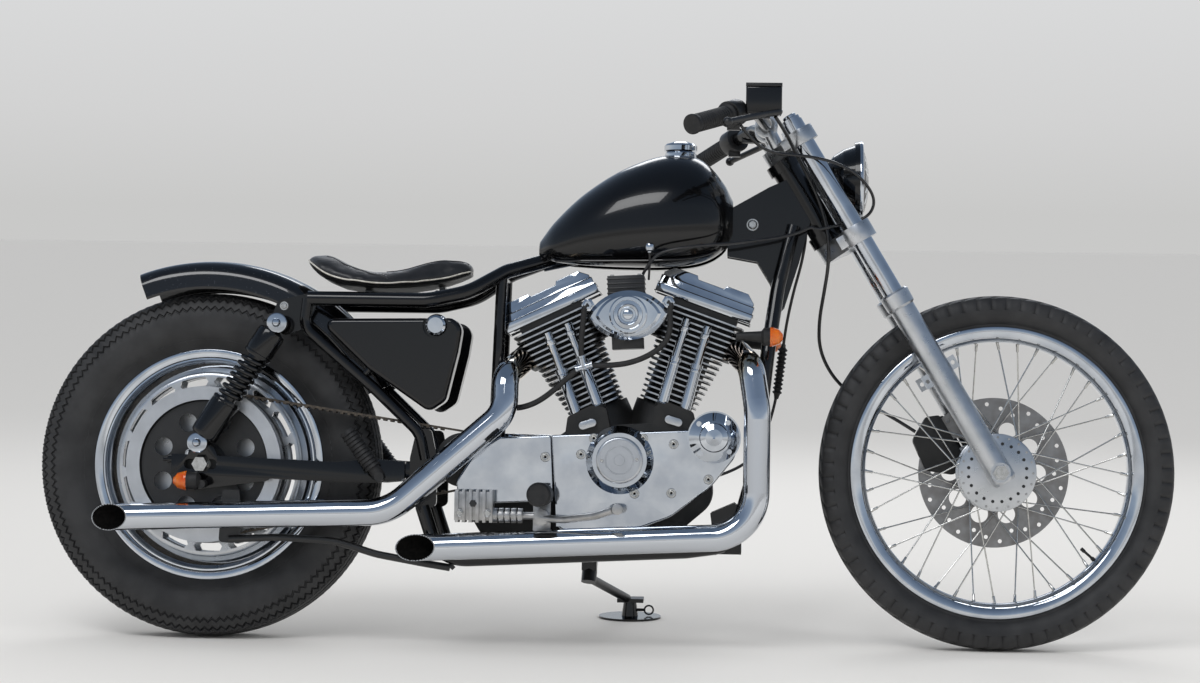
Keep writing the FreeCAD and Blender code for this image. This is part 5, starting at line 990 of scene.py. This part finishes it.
# Up a cylinder from the crank: the fins' foot and the head's top layer; then the radius below which no rim lies,
# and the reach across and along the machine from where the top layer's rims count
FIN_FOOT, HEAD_TOP = 170, 294
FIN_R, HEAD_HALF, HEAD_REACH = 53, 60, 74
LIFTER_TUBE_R = 12.6
# Outlet pipes: where the soot and painted shade end, then a point of the middle line and its slope
PIPE_MOUTHS = {"exhaust_front": (880, 372, 180, 34 / 690), "exhaust_rear": (240, -212, 229, 20 / 578)}
PIPE_Y, PIPE_BORE_R = -166, 24.4


def paint_cylinders():
    """Fin rims machined bright over black castings."""
    axes = [engine_at(0, 0, 1, way) - CRANK for way in (1, -1)]

    def rim(middle, normal):
        away = middle - CRANK
        axis = min(axes, key=lambda a: (away - a * away.dot(a)).length)
        up = away.dot(axis)
        out = away - axis * up
        if up < FIN_FOOT or abs(normal.dot(axis)) > 0.3:
            return False
        if up > HEAD_TOP:
            return abs(middle.y) > HEAD_HALF or abs(out.dot(Vector((axis.z, 0, -axis.x)))) > HEAD_REACH
        return out.length > FIN_R and normal.dot(out.normalized()) > 0.35
    painted("cylinders", "fin_edge", rim)


def paint_lifter_blocks():
    """Lifter blocks black under their plated tubes."""
    lines = [(foot, (top - foot).normalized()) for top, foot in PUSHRODS]

    def off_tube(point, way):
        return (point - way * point.dot(way)).length > LIFTER_TUBE_R or point.dot(way) < 1.0

    painted("pushrods", "black_wrinkle",
            lambda middle, normal: all(off_tube(middle - foot, way) for foot, way in lines))


def paint_pipe_mouths():
    """Soot and painted shade inside both slash cuts: the bores' faces there are painted dead black."""
    for name, (limit, x, z, slope) in PIPE_MOUTHS.items():
        painted(name, "soot_and_painted_shade", lambda middle, normal: middle.x < limit and math.hypot(
            middle.y - PIPE_Y, middle.z - (z + (middle.x - x) * slope)) < PIPE_BORE_R)


def add_rocker_seams():
    """Dark gasket lines of the three-layer rocker boxes."""
    lines = []
    for way in (1, -1):
        for z, out in ((396.0, 52.3), (410.4, 49.3), (377.6, 53.0)):
            reach = 97 + (out - 52)
            points = [engine_at(way * x, y, z, way) for x, y in
                      ((-1 - reach, -out), (-1 + reach, -out), (-1 + reach, out), (-1 - reach, out))]
            for a, b in zip(points, points[1:] + points[:1]):
                lines.append(tube("gasket", [a, a.lerp(b, 0.5), b], 0.7, 2, 1))
    finished(joined("rocker_gaskets", lines), "black_satin")


def add_pushrod_details():
    """Collars and keepers on the telescoping tubes, and bright plates on the lifter blocks."""
    collars = []
    for top, foot in PUSHRODS:
        for share, profile in (
                (0.04, [(0, -6), (11.2, -6), (11.8, -4), (11.8, 2), (10.4, 4), (10.4, 8), (0, 8)]),
                (0.50, [(0, -5), (10.0, -5), (10.6, -3), (10.6, 4), (9.6, 6), (8.4, 7), (0, 7)]),
                (0.88, [(0, -4), (9.6, -4), (10.2, -2), (10.2, 5), (9.0, 6), (0, 6)])):
            ring = lathe("collar", profile, 24)
            ring.matrix_world = placed(*foot.lerp(top, share), (top - foot).normalized())
            collars.append(ring)
    finished(joined("pushrod_collars", collars), "chrome_plate")
    plates = []
    for way in (1, -1):
        oval = [(math.copysign(9.5, math.cos(a)) + 7.5 * math.cos(a), 7.5 * math.sin(a), 0) for a in angles(24)]
        panel = chain("lifter_plate", oval)
        bpy.ops.mesh.edge_face_add()
        bpy.ops.mesh.extrude_region_move(TRANSFORM_OT_translate={"value": (0, 0, 2.5)})
        closed()
        eased(panel, 0.6)
        panel.matrix_world = on_engine(way * 82, -125.2, 130) @ Matrix.Rotation(way * -0.30, 4, "Z")
        plates.append(panel)
    finished(joined("lifter_plates", plates), "satin_aluminium")


def add_cover_rings():
    """Stepped rings of the timer cover and of the air cleaner, with their screws."""
    face = [(0, 7.6), (10, 7.6), (10.4, 7.1), (25, 7.1), (25.5, 7.8), (27, 7.8), (27.5, 7.2), (38.5, 7.2), (39, 7.7),
            (40.5, 7.7), (42, 7.2), (44.3, 5.0), (44.3, 4.4), (0, 4.4)]
    finished(lathe("timer_face", face, 72), "brushed_aluminium", on_engine(-23, -142.1, 59))
    dome = [(0, 13.0), (5.5, 12.6), (9, 10.8), (9.6, 9.2), (13, 9.0), (14.5, 10.9), (18, 11.2), (19.5, 9.4),
            (20.5, 7.2), (27, 6.6), (28.2, 8.6), (33.4, 8.6), (35.6, 6.4), (36.4, 1.0), (0, 1.0)]
    finished(lathe("air_rings", dome, 72), "chrome_plate", on_engine(5, -176, 333))
    spread("timer_screws", socket_bolt(3.4, 2.2), [on_engine(x, -149.0, 59) for x in (-56, 10)], "zinc_steel")
    banjo = [(0, 0), (12.6, 0), (12.6, 2.5), (8.8, 3.5), (8.8, 9), (7.6, 10), (4.2, 10), (4.2, 6), (0, 6)]
    spread("breather_bolts", (banjo, 6), [on_engine(x, -156, 355) for x in (81, -71)], "chrome_plate")


def add_cover_bolts():
    """Socket screws with bright washers round the gearcase and sprocket covers, and black discs of painted shade on
    their sockets' floors.
    """
    places = [placed(x, -126.0, z, RIGHT) for x, z in (
        (660, 358), (728, 364), (752, 395), (846, 396), (904, 386), (831, 291), (901, 293), (971, 320))]
    rim = [(0, -0.6), (9.5, -0.6), (9.5, 0.7), (8.6, 1.4), (0, 1.4)]
    head = joined("cover_bolts", (lathe("cover_bolts", *socket_bolt(5.6, 5.5)), lathe("rim", rim, 24)))
    spread("cover_bolts", head, places, "zinc_steel")
    # Black discs on the floors of the sockets: painted shade
    spread("cover_bolt_socket_shade", ([(0, 2.2), (2.7, 2.2), (2.7, 1.9), (0, 1.9)], 6), places, "soot_and_painted_shade")


def add_breather_hoses():
    """Black breather hoses from the air cleaner's bolts to a plated tee, and on behind the pushrods."""
    for name, rows in (
            ("breather_right", [engine_at(81, -160, 355), engine_at(88, -163, 350), (893, -160, 640), (896, -158, 604),
                                (884, -156, 572), (842, -154, 545), (790, -152, 532), (742, -150, 533)]),
            ("breather_left", [engine_at(-71, -160, 355), engine_at(-79, -163, 350), (731, -160, 630),
                               (727, -157, 590), (726, -153, 560), (728, -151, 545)]),
            ("breather_down", [(724, -149, 528), (700, -146, 508), (672, -142, 482), (644, -138, 462),
                               (618, -134, 452), (596, -126, 450), (580, -112, 452)])):
        finished(tube(name, rows, 5.5, 10, 4), "moulded_rubber")
    tee = []
    for a, b in (((742, -150, 533), (722, -149, 527)), ((728, -151, 545), (731, -150, 531))):
        way = Vector(b) - Vector(a)
        far = way.length
        barrel = lathe("tee", [(0, -6), (7.2, -6), (7.2, -2), (6.2, -1), (6.2, far + 1), (7.2, far + 2),
                               (7.2, far + 6), (0, far + 6)], 20)
        barrel.matrix_world = placed(*a, way)
        tee.append(barrel)
    finished(joined("breather_tee", tee), "chrome_plate")


def add_choke_knob():
    """Choke knob on its stalk beside the carburettor's box."""
    stalk = tube("choke_stalk", [(851, -104, 700), (852, -110, 715), (853, -113, 735), (852, -115, 752)], 2.2)
    finished(stalk, "cable_skin")
    knob = [(0, 0), (4, 0), (4.4, 3), (8.6, 5), (9.4, 8), (9.4, 14), (8.4, 16.5), (0, 17.5)]
    finished(lathe("choke_knob", knob, 28), "chrome_plate", placed(852, -115, 751, (0.04, 0, 1)))


def add_caps():
    """Fluted oil cap in its recess, and the neck that closes the fuel cap down onto the tank."""
    rows = [(0, 0), (20.5, 0), (22.5, 1), (22.5, 4), (20.8, 6), (20.8, 12), (18.6, 15), (17.2, 15.6), (8, 16.4),
            (7, 17.4), (0, 17.8)]
    cap = lathe("oil_cap", rows, 60)
    for vertex, z, r, angle in walked(cap):
        if 5 < z < 13 and r > 19:
            vertex.co.xy = vertex.co.xy * (1 - 0.03 * (1 + math.cos(angle * 20)))
    finished(cap, "chrome_plate", placed(446, -108.9, 606, RIGHT))
    neck = [(0, -14), (30.5, -14), (31, -8), (30.5, -0.5), (0, -0.5)]
    finished(lathe("cap_neck", neck, 60), "chrome_plate", placed(906, 0, 954))


# Steering

THROTTLE = [(1023.1, -225, 985.1), (1046, -196, 956), (1086, -150, 940), (1140, -126, 940), (1200, -122, 930),
            (1250, -104, 906), (1284, -66, 866), (1274, -50, 832), (1236, -52, 818), (1202, -56, 810),
            (1171, -58, 803), (1162, -59, 810), (1136, -64, 797), (1104, -76, 787), (1060, -96, 779),
            (1010, -116, 771), (950, -130, 765), (895, -134, 757), (858, -125, 744), (840, -107, 710.7)]
CLUTCH = [(1066, 214, 995.4), (1092, 190, 960), (1112, 150, 920), (1136, 104, 876), (1150, 66, 842),
          (1151.2, 63, 832.6), (1154, 54, 800), (1146, 62, 748), (1130, 92, 690), (1116, 120, 620), (1108, 138, 540),
          (1096, 148, 460), (1072, 150, 390), (1030, 146, 338), (955.6, 138, 318)]
BRAKE_HOSE = [(1088, -204, 1004), (1108, -166, 980), (1126, -110, 950), (1150, -62, 912), (1176, -50, 862),
              (1194, -53.5, 800), (1196, -52, 740), (1188, -22, 684), (1180, 20, 632), (1182, 58, 576), (1212, 78, 520),
              (1262, 84, 480), (1318, 80, 454), (1373, 80.5, 419.8)]


def add_control_cables():
    """Throttle and clutch cables, each one cord put on no body in place of the frame's cables, and the front brake's
    hose on the steering."""
    for name, rows, start, end in (("throttle_cable", THROTTLE, (1120, -64, 797), (1210, -56, 812)),
                                   ("clutch_cable", CLUTCH, (1146, 62, 748), (1150, 66, 850))):
        obj = finished(tube(name, rows, 3.0, 10), "cable_skin", body=None, smooth=60)
        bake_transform(obj)
    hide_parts("frame_cables")
    finished(tube("brake_hose", BRAKE_HOSE, 3.5, 10), "cable_skin", body="steering", smooth=60,
             stands_for=["bar_cables"])


def add_clutch_boot():
    """Corrugated rubber boot over the clutch cable's adjuster."""
    foot, way = Vector((1113, 130, 590)), Vector((-13, 15, -108))
    length = way.length
    step = (length - 16) / 11
    rows = [(0, 0), (4.5, 0), (5, 6)]
    for i in range(11):
        z = 8 + step * i
        rows += [(6.4, z), (9.6, z + step * 0.3), (9.6, z + step * 0.5), (6.4, z + step * 0.8)]
    rows += [(5, length - 4), (4.2, length), (0, length)]
    finished(lathe("clutch_boot", rows, 22), "moulded_rubber", placed(*foot, way), smooth=50)


def add_grips():
    """Ribbed grips with end flanges."""
    rows = [(12.9, 0), (21.2, 0), (21.5, 1), (21.5, 5), (20.6, 6), (17.0, 8)]
    for i in range(13):
        z = 11 + 7.6 * i
        rows += [(16.2, z), (17.5, z + 0.9), (17.5, z + 4.8), (16.2, z + 5.7)]
    rows += [(16.8, 113), (18.6, 119), (19.0, 121), (19.0, 125), (17.6, 127), (0, 127), (0, 118.1), (12.9, 118.1),
             (12.9, 0)]
    for side, name in zip(SIDES, ("grip_right", "grip_left")):
        end = Vector((938, side * 352, 972))
        way = (end - Vector((1014, side * 232, 1008))).normalized()
        obj = finished(lathe(name, rows, 44), "moulded_rubber", placed(*(end - way * 118), way), "steering", 40)
    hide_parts("grips")


def add_headlamp_inside():
    """Reflector, bulb and ribbed glass of the headlamp, and its bezel."""
    place = placed(1256, 0, 901, (1, 0, 0))
    bowl = [(0, -17), (10, -16), (22, -13.5), (38, -9), (52, -4), (62, 0), (66.5, 2.5), (66.5, 3.5), (61, 1.2),
            (51, -2.8), (37, -7.8), (21, -12.3), (10, -14.8), (0, -15.8)]
    finished(lathe("lamp_reflector", bowl, 64), "mirror_silver", place, "steering")
    bulb = [(0, -15.9), (7, -15.9), (7, -10), (5, -8), (5, 6), (3.5, 9), (0, 10)]
    finished(lathe("lamp_bulb", bulb, 20), "lamp_glass", place, "steering")
    rows = [(0, 16.9), (26, 15.2), (52, 10.3), (62, 6.4), (66.6, 3.9), (66.6, -3.0), (63, -3.0), (62.4, 2.4),
            (51, 6.6), (26, 11.6), (0, 13.2)]
    glass = lathe("lamp_front", rows, 96)
    for vertex, z, r, _ in walked(glass):
        if 4.5 < z < 14 and r < 61 and z > 10 - r * 0.11:
            vertex.co.z -= 0.5 * (1 + math.cos(vertex.co.y * CIRCLE / 9))
    finished(glass, "lamp_glass", place, "steering", 30, ["headlamp_lens"])
    ring = [(72.4, -9), (74.6, -9), (80.2, -2), (80.6, 1), (79.6, 3.6), (75.4, 5.2), (70, 5.0), (66.9, 4.4),
            (66.9, 3.2), (72.0, 2.6), (72.4, -9)]
    finished(lathe("lamp_bezel", ring, 96), "chrome_plate", place, "steering")


def add_switchgear():
    """Brake reservoir with its lid's screws, and the clamp bolts of both perches."""
    screws = [placed(x, y, 1060.2) for x in (1041, 1091) for y in (-244, -210)]
    head = [(0, -0.4), (3.6, -0.4), (3.6, 1.0), (2.6, 1.8), (0, 1.8)]
    spread("lid_screws", (head, 16), screws, "zinc_steel", body="steering")
    cup = block("brake_reservoir", Matrix.Translation((1066, -227, 1030.5)), (67.6, 49.6, 53.0), 5.0, 4)
    finished(cup, "black_enamel", body="steering")
    clamps = [placed(1043.5, -201, 1031.2, (-0.2, 0, 1)), placed(1060, 202, 1030.2)]
    spread("perch_bolts", socket_bolt(4.6, 5), clamps, "zinc_steel", body="steering")


def add_yoke_bolts():
    """Fork caps, and pinch bolts of the yokes."""
    fork = Matrix.Translation(FRONT_AXLE) @ Matrix.Rotation(-RAKE, 4, "Y")
    caps = [placed(*(fork @ Vector((0, side * 92, 785))), fork.to_3x3() @ Vector((0, 0, 1))) for side in SIDES]
    spread("fork_caps", hex_bolt("fork_caps", 24, 7), caps, "chrome_plate", body="steering")
    pinch = both_sides(*(fork @ Vector(spot) for spot in ((-22, 98, 744), (-24, 98, 529))))
    spread("pinch_bolts", socket_bolt(6, 7), pinch, "black_satin", body="steering")


# Running gear

# Where the housings of the signals end and their lenses begin
REAR_LENS_X, FRONT_LENS_X = -22, 1084
SHOCK_FOOT = Vector((-1.2, 0, 374.3))
SHOCK_TOP = Vector((146.5, 0, 604.5))
SHOCK_Y = 150


def add_shocks():
    """Dampers: a body and a cover with an open spring between them, their eyes, and acorn nuts on washers."""
    way = (SHOCK_TOP - SHOCK_FOOT).normalized()
    length = (SHOCK_TOP - SHOCK_FOOT).length
    body = lathe("shock_bodies", [
        (0, 12), (15, 12), (24, 15), (27, 18), (28, 25), (28, 88), (27, 92), (28, 93), (28, 97), (26, 100), (15, 100),
        (15, 198), (26, 198), (28, 201), (28, 205), (27, 206), (28, 210), (28, length - 26), (26, length - 20),
        (20, length - 18), (12, length - 13), (0, length - 13)], 48)
    turns, steps, coil_r = 7, 14, 21.6
    points = [(coil_r * math.cos(CIRCLE * i / steps), coil_r * math.sin(CIRCLE * i / steps),
               104 + 90.0 * i / (turns * steps)) for i in range(turns * steps + 1)]
    unit = joined("shock_bodies", (body, tube("shock_springs", points, 4.6, 2)))
    places = [placed(SHOCK_FOOT.x, side * SHOCK_Y, SHOCK_FOOT.z, way) for side in SIDES]
    spread("shock_bodies", unit, places, "black_enamel", smooth=40, stands_for=["shocks"])
    eye = [(8, -13), (16, -13), (17, -12), (17, 12), (16, 13), (8, 13), (8, -13)]
    eyes = [placed(p.x, side * SHOCK_Y, p.z, (0, 1, 0)) for side in SIDES for p in (SHOCK_FOOT, SHOCK_TOP)]
    spread("shock_eyes", (eye, 36), eyes, "black_enamel")
    acorn = joined("shock_nuts", (lathe("cap", [(0, 0), (8.6, 0), (8.6, 3), (8.0, 7), (5.5, 10.5), (0, 12)], 24),
                                  lathe("rim", [(0, -5), (19, -5), (19, -2), (17.5, -0.5), (10, 0.6), (0, 0.6)], 36)))
    nuts = both_sides(*((p.x, SHOCK_Y + 22, p.z) for p in (SHOCK_TOP, SHOCK_FOOT)))
    spread("shock_nuts", acorn, nuts, "chrome_plate")


def add_intake_details():
    """Ribbed cap over the carburettor, and its screws."""
    bars = [block("rib", Matrix.Translation(engine_at(1, -99, 369 + 9 * i)) @ Matrix.Rotation(-ENGINE_TILT, 4, "Y"),
                  (73.0, 61.0, 3.2), 1.2) for i in range(5)]
    finished(joined("intake_ribs", bars), "black_satin")
    places = [placed(*engine_at(x, y, 411)) for x in (-25, 27) for y in (-121, -77)]
    spread("intake_screws", socket_bolt(3.6, 2.4), places, "zinc_steel")


def add_signal_details():
    """Black housings and rims of the four amber signals."""
    rims = []
    for side in SIDES:
        for x, y, z, way in ((REAR_LENS_X, 152, 302, -1), (FRONT_LENS_X, 166, 591, 1)):
            ring = lathe("rim", [(14.5, -3), (17.6, -3), (18.0, -1), (18.0, 2), (17.4, 3), (14.5, 3), (14.5, -3)], 32)
            ring.matrix_world = placed(x, side * y, z, (way, 0, 0))
            rims.append(ring)
    finished(joined("signal_rims", rims), "moulded_rubber")
    painted("signals", "moulded_rubber", lambda middle, normal: REAR_LENS_X - 0.4 < middle.x < FRONT_LENS_X + 0.4)


def add_chassis_bolts():
    """Bolts and plug of the rear master cylinder, and those at the neck, the pivot and the fender's struts."""
    places = [placed(x, -178.2, 250, RIGHT) for x in (503, 556)]
    spread("cylinder_bolts", hex_bolt("cylinder_bolts", 11, 6, 7.5), places, "zinc_steel")
    plug = [(0, 0), (7, 0), (7, 2), (5.6, 3), (0, 3)]
    finished(lathe("cylinder_plug", plug, 6), "black_satin", placed(528, -178.2, 268, RIGHT))
    made = []
    for x, y, z, across in ((1048, 34, 814, 15), (425, 118, 327, 19), (152, 119, 640, 11), (196, 119, 612, 11)):
        for place in both_sides((x, y, z)):
            bolt = hex_bolt("bolt", across, across * 0.5, across * 0.8)
            bolt.matrix_world = place
            made.append(bolt)
    finished(joined("frame_bolts", made), "zinc_steel")


# Camera, light and floor

IMAGE_W = 1200.0
SENSOR = 36.0
FOCAL_PX = 3003.0
CAMERA_AT = Vector((1042.0, -5787.0, 841.0))
LEAN_ORIGIN = Vector((766.0, 85.098, -0.503))
CAMERA_YAW = math.radians(2.82)
CAMERA_PITCH = math.radians(2.53)
CAMERA_ROLL = math.radians(0.68)


def add_camera():
    """Camera at the photograph's place, fitted to both wheels and the fork."""
    camera = linked("camera", with_settings(bpy.data.cameras.new("camera"), sensor_width=SENSOR,
                                            lens=FOCAL_PX * SENSOR / IMAGE_W, clip_end=200))
    turn = (Matrix.Rotation(CAMERA_YAW, 4, "Z") @ Matrix.Rotation(math.pi / 2 - CAMERA_PITCH, 4, "X")
            @ Matrix.Rotation(CAMERA_ROLL, 4, "Z"))
    camera.matrix_world = Matrix.Translation((CAMERA_AT - LEAN_ORIGIN) * MM) @ turn
    bpy.context.scene.camera = camera


def add_light(name, place, target, width, height, power, mirrored=True):
    """Soft box that looks at a point."""
    data = with_settings(bpy.data.lights.new(name, "AREA"), shape="RECTANGLE", size=width, size_y=height, energy=power)
    turn = (Vector(target) - Vector(place)).to_track_quat("-Z", "Y").to_euler()
    with_settings(linked(name, data), visible_glossy=mirrored, location=place, rotation_euler=turn)


def add_world():
    """Studio surround: one pale gradient that the camera, metal and glass see, and an even light on the rest."""
    world = bpy.data.worlds.new("studio")
    bpy.context.scene.world = world
    world.use_nodes = True
    tree = world.node_tree
    tree.nodes.clear()
    height = node(tree, "SeparateXYZ", Vector=node(tree, "TexCoord").outputs["Generated"]).outputs["Z"]
    sky = ramp(tree, height, (0.0, "#c9c9c8"), (0.03, "#d2d2d2"), (0.10, "#dedfe0"), (0.135, "#cdd4db"),
               (0.19, "#a3b1c2"), (0.45, "#8292a8"), last=(0.85, "#5f6f84"))
    seen = node(tree, "Background", Color=sky, Strength=1.0)
    lit = node(tree, "Background", Color=(1, 1, 1, 1), Strength=0.72)
    ray = node(tree, "LightPath").outputs
    metal = combined(tree, "MAXIMUM", ray["Is Glossy Ray"], ray["Is Transmission Ray"])
    mix = node(tree, "MixShader", Fac=combined(tree, "MAXIMUM", ray["Is Camera Ray"], metal))
    tree.links.new(lit.outputs["Background"], mix.inputs[1])
    tree.links.new(seen.outputs["Background"], mix.inputs[2])
    node(tree, "OutputWorld", Surface=mix.outputs["Shader"])


def add_floor():
    """Pale matt studio floor."""
    surface("studio_floor", "studio_floor", "#e8e7e5", (8, 0.75, 0.85), Specular_IOR_Level=0.2)
    bpy.ops.mesh.primitive_plane_add(size=120, location=(0, 0, 0))
    floor = bpy.context.object
    floor.name = "studio_floor"
    floor.data.materials.append(MATERIALS["studio_floor"])


for name, width in (("rocker_covers", 1.6), ("primary_cover", 2.5), ("yokes", 1.4), ("bar_controls", 1.6),
                    ("carburettor", 3.0), ("crankcase", 1.5), ("front_caliper", 2.0), ("swing_arm", 1.6),
                    ("foot_controls", 0.9)):
    dressed(name, width)
for build in (add_tyres, add_front_wheel, add_rear_wheel, add_wheel_details, add_fuel_tank, add_rear_fender,
              add_saddle, paint_cylinders, paint_lifter_blocks, paint_pipe_mouths, add_rocker_seams,
              add_pushrod_details, add_cover_rings, add_cover_bolts, add_breather_hoses, add_choke_knob, add_caps,
              add_control_cables, add_clutch_boot, add_grips, add_headlamp_inside, add_switchgear, add_yoke_bolts,
              add_shocks, add_intake_details, add_signal_details, add_chassis_bolts):
    build()

bpy.context.scene.view_settings.view_transform = "Standard"
add_camera()
add_world()
add_floor()
add_light("key", (-1.6, -3.4, 4.2), (0, 0, 0.5), 3.2, 1.6, 90)
add_light("fill", (3.4, -3.0, 2.4), (0.3, 0, 0.5), 2.0, 1.6, 28, False)
add_light("back", (0.5, 3.8, 3.0), (0, 0, 0.5), 3.0, 1.2, 35)
